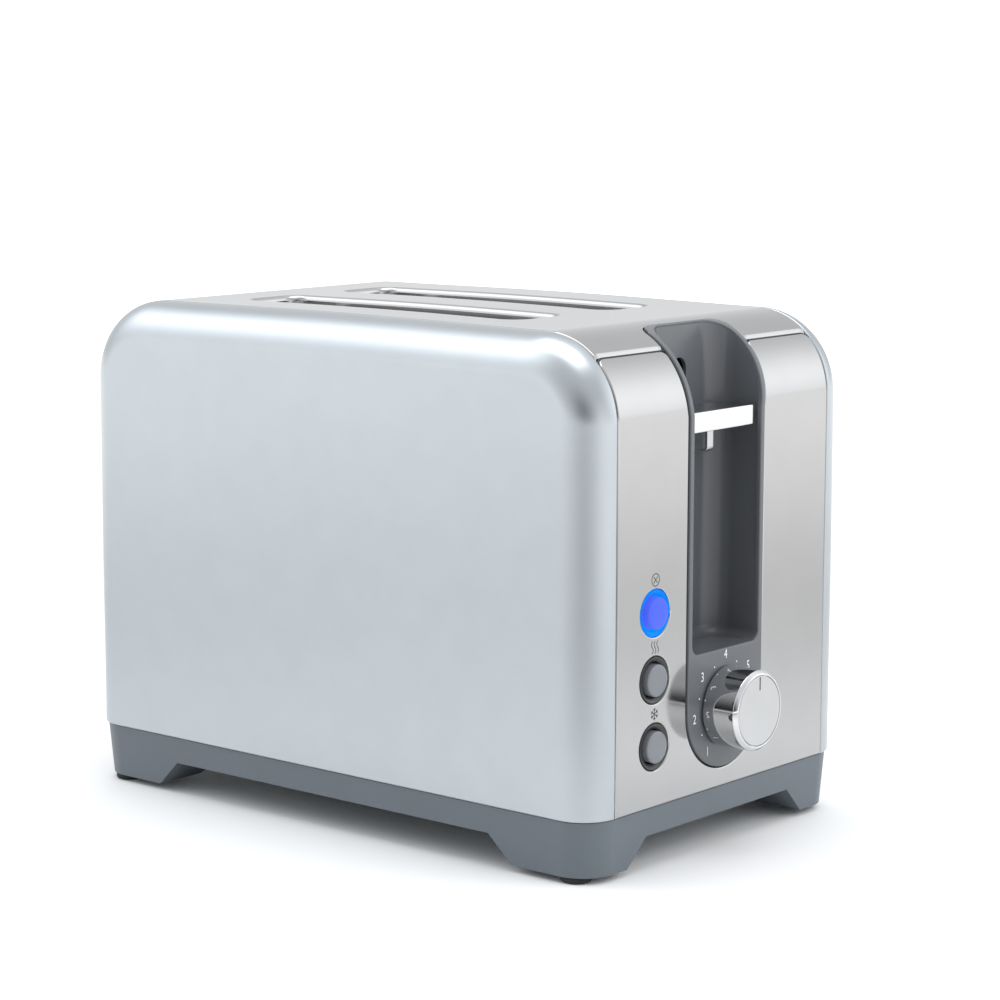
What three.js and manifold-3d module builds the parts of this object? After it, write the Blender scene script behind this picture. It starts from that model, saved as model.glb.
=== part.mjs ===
// Two-slot pop-up toaster, in millimetres, +Z up, built from the separate pieces it comes apart into.
// Inside this file +X points at the control end, and the body is centred on x = 0; the exported group
// is moved along X at the end, so that the middle of the whole object's footprint is the origin.
import * as THREE from 'three';
import { mergeVertices } from 'three/addons/utils/BufferGeometryUtils.js';
import Module from 'manifold-3d';

const wasm = await Module();
wasm.setup();

// Driving dimensions.
const BODY_LENGTH = 276;
const BODY_WIDTH = 170;
const HEIGHT = 209;
const CROWN = 0.7;
const TOP_RADIUS = 34;
const EDGE_RADIUS = 15.7;
const SHEET = 1;
const GAP = 0.3;
const SEAM_HEIGHT = 24.8;
const BAND_BOTTOM = 13.5;
const PAD_HEIGHT = 2.5;
const GROOVE_ANGLE = 47.5;

const SLOT_INNER = 13;
const SLOT_OUTER = 45;
const SLOT_REAR = -82;
const SLOT_FRONT = 68;
const SLOT_CORNER = 8;
const COLLAR_DEPTH = 11;

const FRONT_PLATE_X = 72;
const REAR_PLATE_X = -87;
const CHAMBER_REAR = REAR_PLATE_X + SHEET + GAP;
const CHAMBER_FRONT = FRONT_PLATE_X - GAP;
const SLOT_MIDDLE = (SLOT_INNER + SLOT_OUTER) / 2;

const CARRIAGE_DROP = 74;
const LEVER_TOP = 175;
const LEVER_FACE_X = 136.3;
const BEZEL_HALF = 24.6;
const BEZEL_REAR_X = 113;
const BEZEL_PROUD = 0.6;
const RECESS_HALF = 22;
const RECESS_BACK_X = 114.3;
const RECESS_FLOOR = 80.5;

const DIAL_HEIGHT = 57.5;
const KNOB_RADIUS = 16;
const KNOB_FRONT_X = 155.2;
const BUTTON_Y = -45.3;
const BUTTON_HEIGHTS = { cancel: 100.9, reheat: 74.8, defrost: 48.7 };
const BUTTON_HOLE_RADIUS = 9.3;
const BOARD_X = 116.2;
const GLAND_Y = 35;
const GLAND_Z = 40;
const GLAND_REAR_X = -139.5;

// Worked-out places.
const HALF_LENGTH = BODY_LENGTH / 2;
const HALF_WIDTH = BODY_WIDTH / 2;
const SEAM_Y = HALF_WIDTH - EDGE_RADIUS;
const ARC_X = HALF_LENGTH - TOP_RADIUS;
const ARC_Z = HEIGHT - CROWN - TOP_RADIUS;
const GROOVE_HEIGHT = ARC_Z + TOP_RADIUS * Math.sin(THREE.MathUtils.degToRad(GROOVE_ANGLE));
const FLOOR_TOP = BAND_BOTTOM + 1.8;
const PLATE_BOTTOM = FLOOR_TOP + GAP;
const PLATE_TOP = 196;
const SIDES = { near: -1, far: 1 };

// Finishes.
const finishes = {
  brushedSteel: { color: 0xc3c7cb, roughness: 0.35, metalness: 1 },
  mirrorSteel: { color: 0xd4d4d4, roughness: 0.12, metalness: 1 },
  baseGrey: { color: 0x7d848c, roughness: 0.45, metalness: 0 },
  bezelGrey: { color: 0x7e8287, roughness: 0.3, metalness: 0 },
  chrome: { color: 0xe6e8ea, roughness: 0.06, metalness: 1 },
  satinSilver: { color: 0xdcdee0, roughness: 0.3, metalness: 1 },
  ringGrey: { color: 0x4b4d4d, roughness: 0.4, metalness: 0 },
  capGrey: { color: 0x90969e, roughness: 0.35, metalness: 0 },
  litBlue: { color: 0x3f6bff, roughness: 0.3, metalness: 0 },
  rubber: { color: 0x1b1c1e, roughness: 0.8, metalness: 0 },
  zincSteel: { color: 0xaeb2b5, roughness: 0.4, metalness: 1 },
  mica: { color: 0xb9a98a, roughness: 0.6, metalness: 0 },
  board: { color: 0x2e6b3c, roughness: 0.5, metalness: 0 },
  blackPlastic: { color: 0x1d1e20, roughness: 0.5, metalness: 0 },
};

// Solids: every builder below returns one that can still be joined and cut.
function solid(geometry) {
  const bare = geometry.clone();
  bare.deleteAttribute('normal');
  bare.deleteAttribute('uv');
  const merged = mergeVertices(bare, 1e-4);
  const vertProperties = Float32Array.from(merged.attributes.position.array);
  const triVerts = Uint32Array.from(merged.index.array);
  return new wasm.Manifold(new wasm.Mesh({ numProp: 3, vertProperties, triVerts }));
}

function box(x0, x1, y0, y1, z0, z1) {
  const geometry = new THREE.BoxGeometry(x1 - x0, y1 - y0, z1 - z0);
  return solid(geometry.translate((x0 + x1) / 2, (y0 + y1) / 2, (z0 + z1) / 2));
}

// A shape drawn in (y, z), extruded along X.
function alongX(shape, x0, x1, curveSegments = 8) {
  const geometry = new THREE.ExtrudeGeometry(shape, { depth: x1 - x0, bevelEnabled: false, curveSegments });
  const yAxis = new THREE.Vector3(0, 1, 0);
  const zAxis = new THREE.Vector3(0, 0, 1);
  const xAxis = new THREE.Vector3(1, 0, 0);
  geometry.applyMatrix4(new THREE.Matrix4().makeBasis(yAxis, zAxis, xAxis));
  return solid(geometry.translate(x0, 0, 0));
}

// A shape drawn in (x, z), extruded along Y.
function alongY(shape, y0, y1, curveSegments = 8) {
  const geometry = new THREE.ExtrudeGeometry(shape, { depth: y1 - y0, bevelEnabled: false, curveSegments });
  return solid(geometry.rotateX(Math.PI / 2).translate(0, y1, 0));
}

// A shape drawn in (x, y), extruded along Z.
function alongZ(shape, z0, z1, curveSegments = 6) {
  const geometry = new THREE.ExtrudeGeometry(shape, { depth: z1 - z0, bevelEnabled: false, curveSegments });
  return solid(geometry.translate(0, 0, z0));
}

// A profile of [distance along the axis, radius] turned about a line along X through (y, z).
function turnedX(profile, y, z, segments = 28) {
  const points = profile.map(([x, radius]) => new THREE.Vector2(radius, x));
  const geometry = new THREE.LatheGeometry(points, segments);
  return solid(geometry.rotateZ(-Math.PI / 2).translate(0, y, z));
}

function turnedZ(profile, x, y, segments = 20) {
  const points = profile.map(([z, radius]) => new THREE.Vector2(radius, z));
  const geometry = new THREE.LatheGeometry(points, segments);
  return solid(geometry.rotateX(Math.PI / 2).translate(x, y, 0));
}

function rodX(radius, x0, x1, y, z, segments) {
  return turnedX([[x0, 0], [x0, radius], [x1, radius], [x1, 0]], y, z, segments);
}

function rodZ(radius, z0, z1, x, y, segments) {
  return turnedZ([[z0, 0], [z0, radius], [z1, radius], [z1, 0]], x, y, segments);
}

function roundedRectangle(u0, u1, v0, v1, radius) {
  const shape = new THREE.Shape();
  shape.moveTo(u0 + radius, v0);
  shape.lineTo(u1 - radius, v0);
  shape.absarc(u1 - radius, v0 + radius, radius, -Math.PI / 2, 0, false);
  shape.lineTo(u1, v1 - radius);
  shape.absarc(u1 - radius, v1 - radius, radius, 0, Math.PI / 2, false);
  shape.lineTo(u0 + radius, v1);
  shape.absarc(u0 + radius, v1 - radius, radius, Math.PI / 2, Math.PI, false);
  shape.lineTo(u0, v0 + radius);
  shape.absarc(u0 + radius, v0 + radius, radius, Math.PI, 1.5 * Math.PI, false);
  return shape;
}

function polygon(points) {
  return new THREE.Shape(points.map(([u, v]) => new THREE.Vector2(u, v)));
}

function joined(...solids) {
  return solids.reduce((whole, piece) => whole.add(piece));
}

function without(whole, ...tools) {
  return tools.reduce((left, tool) => left.subtract(tool), whole);
}

// The side profile of the steel body in (x, z): upright ends, big top corners and a slightly crowned top.
function bodyProfile(inset, bottom) {
  const end = HALF_LENGTH - inset;
  const radius = TOP_RADIUS - inset;
  const crownControl = 2 * (HEIGHT - inset) - (ARC_Z + radius);
  const shape = new THREE.Shape();
  shape.moveTo(end, bottom);
  shape.lineTo(end, ARC_Z);
  shape.absarc(ARC_X, ARC_Z, radius, 0, Math.PI / 2, false);
  shape.quadraticCurveTo(0, crownControl, -ARC_X, ARC_Z + radius);
  shape.absarc(-ARC_X, ARC_Z, radius, Math.PI / 2, Math.PI, false);
  shape.lineTo(-end, bottom);
  return shape;
}

// The whole body with its long edges rounded, as a solid: its bottom hangs below the seam, to be cut off.
function pillow(inset) {
  const edge = EDGE_RADIUS - inset;
  const geometry = new THREE.ExtrudeGeometry(bodyProfile(inset, -SEAM_HEIGHT), {
    depth: 2 * SEAM_Y,
    bevelThickness: edge,
    bevelSize: edge,
    bevelOffset: -edge,
    bevelSegments: 6,
    curveSegments: 8,
  });
  return solid(geometry.rotateX(Math.PI / 2).translate(0, SEAM_Y, 0));
}

// Steel side shells: each wraps a long side and rolls over the end and top edges to a seam.
function sideShell(side) {
  const wide = HALF_LENGTH + 5;
  const inner = SEAM_Y + GAP / 2;
  const outer = HALF_WIDTH + 5;
  const [y0, y1] = side < 0 ? [-outer, -inner] : [inner, outer];
  const sideSpace = box(-wide, wide, y0, y1, SEAM_HEIGHT, HEIGHT + 5);
  return pillow(0).subtract(pillow(SHEET)).intersect(sideSpace);
}

// The steel strip between the side shells, as one band from the seam over the top to the other seam.
function middleBand() {
  const half = SEAM_Y - GAP / 2;
  const outside = alongY(bodyProfile(0, SEAM_HEIGHT), -half, half);
  const inside = alongY(bodyProfile(SHEET, SEAM_HEIGHT - 5), -half - 5, half + 5);
  return outside.subtract(inside);
}

// The outline of the lever and dial bezel, grown by a clearance: a round foot, straight sides and a
// square top end with soft corners, seen from the front and from above.
function bezelTool(clearance) {
  const half = BEZEL_HALF + clearance;
  const front = new THREE.Shape();
  front.moveTo(half, HEIGHT + 10);
  front.lineTo(-half, HEIGHT + 10);
  front.lineTo(-half, DIAL_HEIGHT);
  front.absarc(0, DIAL_HEIGHT, half, Math.PI, 2 * Math.PI, false);
  const above = roundedRectangle(BEZEL_REAR_X - clearance, HALF_LENGTH + 40, -half, half, 7);
  return alongX(front, BEZEL_REAR_X - 10, HALF_LENGTH + 10, 16).intersect(alongZ(above, 0, HEIGHT + 10));
}

function frontEndPanel() {
  const lower = box(0, HALF_LENGTH + 5, -HALF_WIDTH, HALF_WIDTH, 0, GROOVE_HEIGHT);
  const holes = Object.values(BUTTON_HEIGHTS).map((z) => rodX(BUTTON_HOLE_RADIUS, 120, 150, BUTTON_Y, z, 28));
  return without(middleBand().intersect(lower), bezelTool(GAP), ...holes);
}

function rearEndPanel() {
  const lower = box(-HALF_LENGTH - 5, 0, -HALF_WIDTH, HALF_WIDTH, 0, GROOVE_HEIGHT);
  const glandHole = rodX(6.5, -HALF_LENGTH - 5, -HALF_LENGTH + 5, GLAND_Y, GLAND_Z, 20);
  return middleBand().intersect(lower).subtract(glandHole);
}

function slotOutline(side, grow) {
  const [y0, y1] = side < 0 ? [-SLOT_OUTER, -SLOT_INNER] : [SLOT_INNER, SLOT_OUTER];
  return roundedRectangle(SLOT_REAR - grow, SLOT_FRONT + grow, y0 - grow, y1 + grow, SLOT_CORNER + grow);
}

// The top panel with its two bread slots; each slot has a collar that turns down inside.
function topPanel() {
  const above = box(-200, 200, -HALF_WIDTH, HALF_WIDTH, GROOVE_HEIGHT + GAP, HEIGHT + 5);
  let panel = middleBand().intersect(above);
  for (const side of Object.values(SIDES)) {
    const collar = alongZ(slotOutline(side, 0), HEIGHT - COLLAR_DEPTH, HEIGHT - 1.2);
    panel = panel.add(collar);
    panel = panel.subtract(alongZ(slotOutline(side, -SHEET), HEIGHT - 20, HEIGHT + 10));
  }
  return panel.subtract(bezelTool(GAP));
}

// The housing of the lever and dial: a skin that stands a little proud of the steel, with a deep trough
// behind it for the lever, and a slot in the trough's back for the lever's arm.
function leverBezel() {
  const width = BODY_WIDTH;
  const proud = alongY(bodyProfile(-BEZEL_PROUD, 0), -width, width);
  const behind = alongY(bodyProfile(2.4, -10), -width - 5, width + 5);
  const skin = bezelTool(0).intersect(proud.subtract(behind));
  const wall = 2;
  const front = roundedRectangle(-RECESS_HALF - wall, RECESS_HALF + wall, RECESS_FLOOR - wall, 260, 5);
  const housing = alongX(front, RECESS_BACK_X - wall, HALF_LENGTH).intersect(behind);
  const trough = alongZ(roundedRectangle(RECESS_BACK_X, 260, -RECESS_HALF, RECESS_HALF, 10), 50, 260)
    .intersect(alongX(roundedRectangle(-RECESS_HALF, RECESS_HALF, RECESS_FLOOR, 260, 4), 50, 200));
  const armSlot = alongX(roundedRectangle(-4.5, 4.5, 84, 193.5, 4.4), RECESS_BACK_X - 10, RECESS_BACK_X + 5, 4);
  const dialHole = rodX(4, 100, 200, 0, DIAL_HEIGHT, 20);
  return without(skin.add(housing), trough, armSlot, dialHole);
}

// Base moulding: a tub with a slightly tapered wall on four corner feet whose inner sides slant.
const TAPER = 1.7;

function taperedBlock(inset, z0, z1) {
  const geometry = new THREE.ExtrudeGeometry(
    roundedRectangle(-HALF_LENGTH + inset, HALF_LENGTH - inset, -HALF_WIDTH + inset, HALF_WIDTH - inset, 15),
    { depth: z1 - z0, bevelEnabled: false, curveSegments: 6 },
  );
  geometry.translate(0, 0, z0);
  const place = geometry.attributes.position;
  for (let i = 0; i < place.count; i += 1) {
    const drop = (TAPER * (z1 - place.getZ(i))) / (z1 - z0);
    place.setX(i, place.getX(i) * (1 - drop / HALF_LENGTH));
    place.setY(i, place.getY(i) * (1 - drop / HALF_WIDTH));
  }
  return solid(geometry);
}

// The open space under the base between two feet, wider at the bottom, as a shape in (across, z).
function footGap(top, bottom) {
  return polygon([[-bottom, PAD_HEIGHT], [-bottom, -5], [bottom, -5], [bottom, PAD_HEIGHT],
    [top, BAND_BOTTOM], [-top, BAND_BOTTOM]]);
}

const SCREW_X = 78;
const SCREW_Y = 66;
const TRAY_HALF = 50;
const TRAY_TOP = 22;

function base() {
  const top = SEAM_HEIGHT - GAP;
  const outside = taperedBlock(0.8, PAD_HEIGHT, top);
  const wall = 3.6;
  const hollow = alongZ(
    roundedRectangle(-HALF_LENGTH + wall, HALF_LENGTH - wall, -HALF_WIDTH + wall, HALF_WIDTH - wall, 13),
    FLOOR_TOP, top + 5);
  const longGap = alongY(footGap(86.5, 98), -100, 100);
  const shortGap = alongX(footGap(47.4, 58.8), -160, 160);
  const trayMouth = box(-150, -HALF_LENGTH + wall + 1, -TRAY_HALF - 0.6, TRAY_HALF + 0.6, FLOOR_TOP, TRAY_TOP + 0.6);
  const fingerNotch = box(-150, -118, -16, 16, 0, FLOOR_TOP + 1);
  let tub = without(outside, hollow, longGap, shortGap, trayMouth, fingerNotch);
  for (const x of [-SCREW_X, SCREW_X]) {
    for (const y of [-SCREW_Y, SCREW_Y]) {
      tub = tub.add(rodZ(4.5, FLOOR_TOP - 1, 22, x, y, 16));
      tub = without(tub, rodZ(1.9, 10, 30, x, y, 12), rodZ(3.6, 10, BAND_BOTTOM + 1.6, x, y, 16));
    }
  }
  for (let slot = 0; slot < 6; slot += 1) {
    const x = -70 + slot * 24;
    tub = tub.subtract(box(x, x + 6, -40, 40, 10, 20));
  }
  return tub;
}

function baseScrew(x, y) {
  const head = BAND_BOTTOM + 0.1;
  return turnedZ([[head, 0], [head, 3.2], [head + 1.2, 3.2], [head + 1.2, 1.5], [24, 1.5], [24, 0]], x, y, 14);
}

function footPad(x, y) {
  const top = PAD_HEIGHT - GAP;
  return turnedZ([[0, 0], [0, 5.2], [0.6, 6], [top, 6], [top, 0]], x, y, 20);
}

// Crumb tray: a shallow pan that slides out of the rear end, with a plastic front of its own.
function crumbTray() {
  const x0 = -134;
  const x1 = 66;
  const pan = box(x0, x1, -TRAY_HALF, TRAY_HALF, PLATE_BOTTOM, TRAY_TOP);
  return pan.subtract(box(x0 + SHEET, x1 - SHEET, -TRAY_HALF + SHEET, TRAY_HALF - SHEET, PLATE_BOTTOM + SHEET, 40));
}

function crumbTrayFront() {
  return box(-136.4, -134 - GAP, -TRAY_HALF - 0.2, TRAY_HALF + 0.2, PLATE_BOTTOM, TRAY_TOP + 0.2);
}

// Chassis: two upright plates that carry the heaters, with slits for the bread lifters' arms.
function frontPlate() {
  const plate = box(FRONT_PLATE_X, FRONT_PLATE_X + SHEET, -60, 60, PLATE_BOTTOM, PLATE_TOP);
  const slits = Object.values(SIDES).map((side) => {
    const y = side * SLOT_MIDDLE;
    return box(60, 90, y - 2, y + 2, 40, 145);
  });
  return without(plate, ...slits);
}

function rearPlate() {
  const plate = box(REAR_PLATE_X, REAR_PLATE_X + SHEET, -60, 60, PLATE_BOTTOM, PLATE_TOP);
  return plate.subtract(box(-100, -80, -TRAY_HALF - 2, TRAY_HALF + 2, 0, TRAY_TOP + 3));
}

function guideBracket() {
  return box(FRONT_PLATE_X + SHEET + GAP, 102, -26, 26, PLATE_TOP + 1.3, PLATE_TOP + 2.8);
}

function reflector(side) {
  const y = side * 56;
  return box(CHAMBER_REAR, CHAMBER_FRONT, y - SHEET / 2, y + SHEET / 2, 28, 192);
}

// Heater boards: notched mica sheets that the heating ribbon is wound round.
function heaterBoard(y) {
  let sheet = box(CHAMBER_REAR, CHAMBER_FRONT, y - 0.6, y + 0.6, 38, 188);
  for (const x of [CHAMBER_REAR, CHAMBER_FRONT]) {
    sheet = sheet.subtract(box(x - 3, x + 3, y - 2, y + 2, 100, 126));
  }
  return sheet;
}

// Bread guard: a wire grid that leans on the bread; it moves in as the carriage goes down.
const WIRE = 1.8;

function breadGuard(y) {
  const x0 = SLOT_REAR + 3;
  const x1 = SLOT_FRONT - 3;
  const z0 = 44;
  const z1 = 194;
  const uprights = 8;
  const pitch = (x1 - x0 - WIRE) / (uprights - 1);
  let grid = box(x0, x1, y - WIRE / 2, y + WIRE / 2, z0, z0 + WIRE);
  grid = grid.add(box(x0, x1, y - WIRE / 2, y + WIRE / 2, z1 - WIRE, z1));
  for (let i = 0; i < uprights; i += 1) {
    const x = x0 + i * pitch;
    grid = grid.add(box(x, x + WIRE, y - WIRE / 2, y + WIRE / 2, z0, z1));
  }
  return grid;
}

// Carriage: a plate on two sleeves that runs on the guide rods, with an arm through the bezel's slot
// whose end is bent down under the lever.
const GUIDE_X = 93;
const GUIDE_Y = 19;
const CARRIAGE_X = 84;
const CARRIAGE_LOW = 118;
const CARRIAGE_HIGH = 180;

function carriage() {
  const plateFront = CARRIAGE_X + 2;
  const armTop = LEVER_TOP - 2 - GAP;
  let frame = box(CARRIAGE_X, plateFront, -26, 26, CARRIAGE_LOW, CARRIAGE_HIGH);
  frame = frame.add(box(CARRIAGE_X, plateFront, -34, 34, CARRIAGE_LOW, 132));
  for (const side of Object.values(SIDES)) {
    const y = side * GUIDE_Y;
    frame = joined(frame, rodZ(5, 122, 178, GUIDE_X, y, 16), box(plateFront - 1, GUIDE_X, y - 2, y + 2, 122, 178));
    frame = frame.subtract(rodZ(2.9, 100, 200, GUIDE_X, y, 16));
  }
  const arm = box(plateFront - 1, 130, -3, 3, armTop - 1.5, armTop);
  const tab = box(128.5, 130, -2, 2, 158, armTop - 1);
  const curl = alongY(polygon([[130, 158], [130, 159.5], [128.5, 159.6], [125.8, 158.2], [126.6, 157]]), -2, 2);
  return joined(frame, arm, tab, curl);
}

function leverHandle() {
  const rear = 118.8;
  const bottom = LEVER_TOP - 8;
  const section = polygon([[rear, LEVER_TOP], [rear, LEVER_TOP - 2], [LEVER_FACE_X - 2, LEVER_TOP - 2],
    [LEVER_FACE_X - 2, bottom], [LEVER_FACE_X, bottom], [LEVER_FACE_X, LEVER_TOP]]);
  const half = 20.6;
  const plan = roundedRectangle(rear, LEVER_FACE_X + 20, -half, half, 7);
  return alongY(section, -half - 1, half + 1).intersect(alongZ(plan, bottom - 5, LEVER_TOP + 5));
}

function guideRod(side) {
  return rodZ(2.5, PLATE_BOTTOM, PLATE_TOP + 1, GUIDE_X, side * GUIDE_Y, 16);
}

// The tension spring that lifts the carriage, as the solid its coils fill.
function returnSpring() {
  return rodZ(3.2, 123, PLATE_TOP + 1, GUIDE_X, 9, 12);
}

// Bread lifter: a narrow rail under the slice, stiffened by a web that runs out to the carriage.
function breadLifter(side) {
  const y = side * SLOT_MIDDLE;
  const rail = box(-77, 63, y - 5, y + 5, 125.5, 127);
  const web = box(-77, CARRIAGE_X - GAP, y - 0.7, y + 0.7, 117, 126);
  return rail.add(web);
}

function latchPlate() {
  return box(CARRIAGE_X + 2 + GAP, 106, -7, 7, CARRIAGE_LOW + 1, CARRIAGE_LOW + 3.5);
}

// Electromagnet that holds the carriage down while the bread toasts.
function latchMagnet() {
  const top = CARRIAGE_LOW + 1 - CARRIAGE_DROP - 0.5;
  return joined(box(90, 108, -8, 8, PLATE_BOTTOM, 20), rodZ(6.5, 19, top - 2, 99, 0, 16),
    box(91, 107, -7, 7, top - 3, top));
}

// Control board: one L-shaped circuit board behind the buttons and the dial.
function controlBoard() {
  const outline = polygon([[-62, 34], [40, 34], [40, 75], [-28, 75], [-28, 112], [-62, 112]]);
  return alongX(outline, BOARD_X, BOARD_X + 1.6);
}

function buttonSwitch(z) {
  const front = BOARD_X + 1.6 + GAP;
  const body = box(front, front + 3.2, BUTTON_Y - 3, BUTTON_Y + 3, z - 3, z + 3);
  return body.add(rodX(1.7, front + 3, 122.1, BUTTON_Y, z, 12));
}

function browningControl() {
  const front = BOARD_X + 1.6 + GAP;
  const body = box(front, 127, -9, 9, DIAL_HEIGHT - 9, DIAL_HEIGHT + 9);
  const bushing = rodX(4.8, 126, 134.5, 0, DIAL_HEIGHT, 20);
  return body.add(bushing).subtract(rodX(3.4, 119.5, 140, 0, DIAL_HEIGHT, 20));
}

// Push buttons: a dished ring clipped behind the steel, and a cap on a stem that presses the switch.
function buttonRing(z) {
  const rear = 128.5;
  return turnedX([[rear, 6.8], [rear, 8.6], [134.5, 8.6], [134.5, 10.6], [136.6, 10.6], [136.6, 9],
    [HALF_LENGTH, 9], [HALF_LENGTH - 1.5, 6.8], [rear, 6.8]], BUTTON_Y, z, 24);
}

function buttonCap(z) {
  return turnedX([[123.6, 0], [123.6, 2], [126.3, 2], [126.3, 7.6], [128.2, 7.6], [128.2, 6.3],
    [138.9, 6.3], [139.4, 5.8], [139.6, 0]], BUTTON_Y, z, 24);
}

// Browning dial: a hollow knob with a satin disc let into its face, on the shaft of the control.
function dialKnob() {
  const back = HALF_LENGTH + BEZEL_PROUD + 0.5;
  const recess = KNOB_FRONT_X - 1;
  const inside = 152;
  return turnedX([[back, 3.3], [back, 5.5], [inside, 5.5], [inside, KNOB_RADIUS - 2], [back, KNOB_RADIUS - 2],
    [back, KNOB_RADIUS], [recess, KNOB_RADIUS], [KNOB_FRONT_X, KNOB_RADIUS - 1.2], [KNOB_FRONT_X, 14.2],
    [recess, 14.2], [recess, 0], [151.5, 0], [151.5, 3.3], [back, 3.3]], 0, DIAL_HEIGHT, 36);
}

function dialFace() {
  return rodX(13.9, KNOB_FRONT_X - 1 + GAP, KNOB_FRONT_X, 0, DIAL_HEIGHT, 36);
}

function dialShaft() {
  return rodX(3, 120, 151.2, 0, DIAL_HEIGHT, 20);
}

// Bush that the mains lead leaves through, and the block inside that its wires end in.
function cordGland() {
  const face = -HALF_LENGTH - GAP;
  return turnedX([[GLAND_REAR_X, 3.6], [GLAND_REAR_X, 8.6], [face, 9], [face, 6.2], [-120, 6.2], [-120, 3.6],
    [GLAND_REAR_X, 3.6]], GLAND_Y, GLAND_Z, 20);
}

function terminalBlock() {
  return box(-104, REAR_PLATE_X - GAP, 24, 46, 32, 48);
}

// The assembly.
const toaster = new THREE.Group();
const body = new THREE.Group();
body.position.x = -(KNOB_FRONT_X + GLAND_REAR_X) / 2;
toaster.add(body);

function place(name, piece, finish) {
  const { vertProperties, triVerts } = piece.getMesh();
  const geometry = new THREE.BufferGeometry();
  geometry.setAttribute('position', new THREE.BufferAttribute(vertProperties, 3));
  geometry.setIndex(new THREE.BufferAttribute(triVerts, 1));
  geometry.computeVertexNormals();
  const mesh = new THREE.Mesh(geometry, new THREE.MeshStandardMaterial(finishes[finish]));
  mesh.name = name;
  body.add(mesh);
}

place('front_end_panel', frontEndPanel(), 'mirrorSteel');
place('rear_end_panel', rearEndPanel(), 'mirrorSteel');
place('top_panel', topPanel(), 'mirrorSteel');
place('lever_bezel', leverBezel(), 'bezelGrey');
place('base', base(), 'baseGrey');
place('crumb_tray', crumbTray(), 'zincSteel');
place('crumb_tray_front', crumbTrayFront(), 'baseGrey');
place('front_plate', frontPlate(), 'zincSteel');
place('rear_plate', rearPlate(), 'zincSteel');
place('guide_bracket', guideBracket(), 'zincSteel');
place('carriage', carriage(), 'zincSteel');
place('lever_handle', leverHandle(), 'chrome');
place('latch_plate', latchPlate(), 'zincSteel');
place('latch_magnet', latchMagnet(), 'blackPlastic');
place('return_spring', returnSpring(), 'zincSteel');
place('control_board', controlBoard(), 'board');
place('browning_control', browningControl(), 'blackPlastic');
place('dial_shaft', dialShaft(), 'zincSteel');
place('dial_knob', dialKnob(), 'chrome');
place('dial_face', dialFace(), 'satinSilver');
place('cord_gland', cordGland(), 'blackPlastic');
place('terminal_block', terminalBlock(), 'blackPlastic');

for (const [name, side] of Object.entries(SIDES)) {
  place(`${name}_side_shell`, sideShell(side), 'brushedSteel');
  place(`${name}_reflector`, reflector(side), 'zincSteel');
  place(`${name}_guide_rod`, guideRod(side), 'chrome');
  place(`${name}_bread_lifter`, breadLifter(side), 'zincSteel');
  place(`${name}_outer_heater`, heaterBoard(side * 51), 'mica');
  place(`${name}_inner_heater`, heaterBoard(side * 7.5), 'mica');
  place(`${name}_outer_guard`, breadGuard(side * 46), 'chrome');
  place(`${name}_inner_guard`, breadGuard(side * 12), 'chrome');
  for (const [end, x] of [['front', 1], ['rear', -1]]) {
    place(`${name}_${end}_foot_pad`, footPad(x * 124, side * 75.5), 'rubber');
    place(`${name}_${end}_base_screw`, baseScrew(x * SCREW_X, side * SCREW_Y), 'zincSteel');
  }
}

for (const [name, z] of Object.entries(BUTTON_HEIGHTS)) {
  place(`${name}_button_ring`, buttonRing(z), 'ringGrey');
  place(`${name}_button_cap`, buttonCap(z), name === 'cancel' ? 'litBlue' : 'capGrey');
  place(`${name}_switch`, buttonSwitch(z), 'blackPlastic');
}

export default toaster;
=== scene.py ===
"""A two-slot pop-up toaster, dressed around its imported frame.

Shapes are made in millimetres about the middle of the steel body, where +X is the control end,
and settle() takes each finished piece to metres in the frame.
"""
import math
from contextlib import contextmanager

import bmesh
import bpy
from mathutils import Matrix, Vector


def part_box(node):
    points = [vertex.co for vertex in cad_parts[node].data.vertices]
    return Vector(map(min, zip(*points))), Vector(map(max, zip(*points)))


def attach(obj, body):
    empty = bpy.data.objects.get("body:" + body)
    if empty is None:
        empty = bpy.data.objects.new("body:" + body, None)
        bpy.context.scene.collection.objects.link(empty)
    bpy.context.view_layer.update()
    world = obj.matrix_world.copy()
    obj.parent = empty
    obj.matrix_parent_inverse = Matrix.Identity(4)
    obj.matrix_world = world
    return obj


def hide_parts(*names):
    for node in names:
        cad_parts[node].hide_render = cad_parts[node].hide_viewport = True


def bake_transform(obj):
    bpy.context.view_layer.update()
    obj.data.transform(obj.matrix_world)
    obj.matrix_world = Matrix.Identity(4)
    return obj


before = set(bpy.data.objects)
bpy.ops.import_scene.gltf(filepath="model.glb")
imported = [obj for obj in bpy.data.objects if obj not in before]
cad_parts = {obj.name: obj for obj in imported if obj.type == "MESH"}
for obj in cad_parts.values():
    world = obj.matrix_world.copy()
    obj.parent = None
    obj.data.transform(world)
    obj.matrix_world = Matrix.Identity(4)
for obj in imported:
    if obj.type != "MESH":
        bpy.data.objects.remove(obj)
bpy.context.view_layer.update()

MM = 0.001
X, Y, Z = Vector((1, 0, 0)), Vector((0, 1, 0)), Vector((0, 0, 1))
NEAR, FAR = -1, 1
SIDES = {"near": NEAR, "far": FAR}
ENDS = {"front": 1, "rear": -1}

base_low, base_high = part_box("base")
MIDDLE = Vector(((base_low.x + base_high.x) / 2, 0, 0))


def span(node):
    """Lowest and highest corner of a frame node, in millimetres about the body's middle."""
    low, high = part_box(node)
    return (low - MIDDLE) / MM, (high - MIDDLE) / MM


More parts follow.
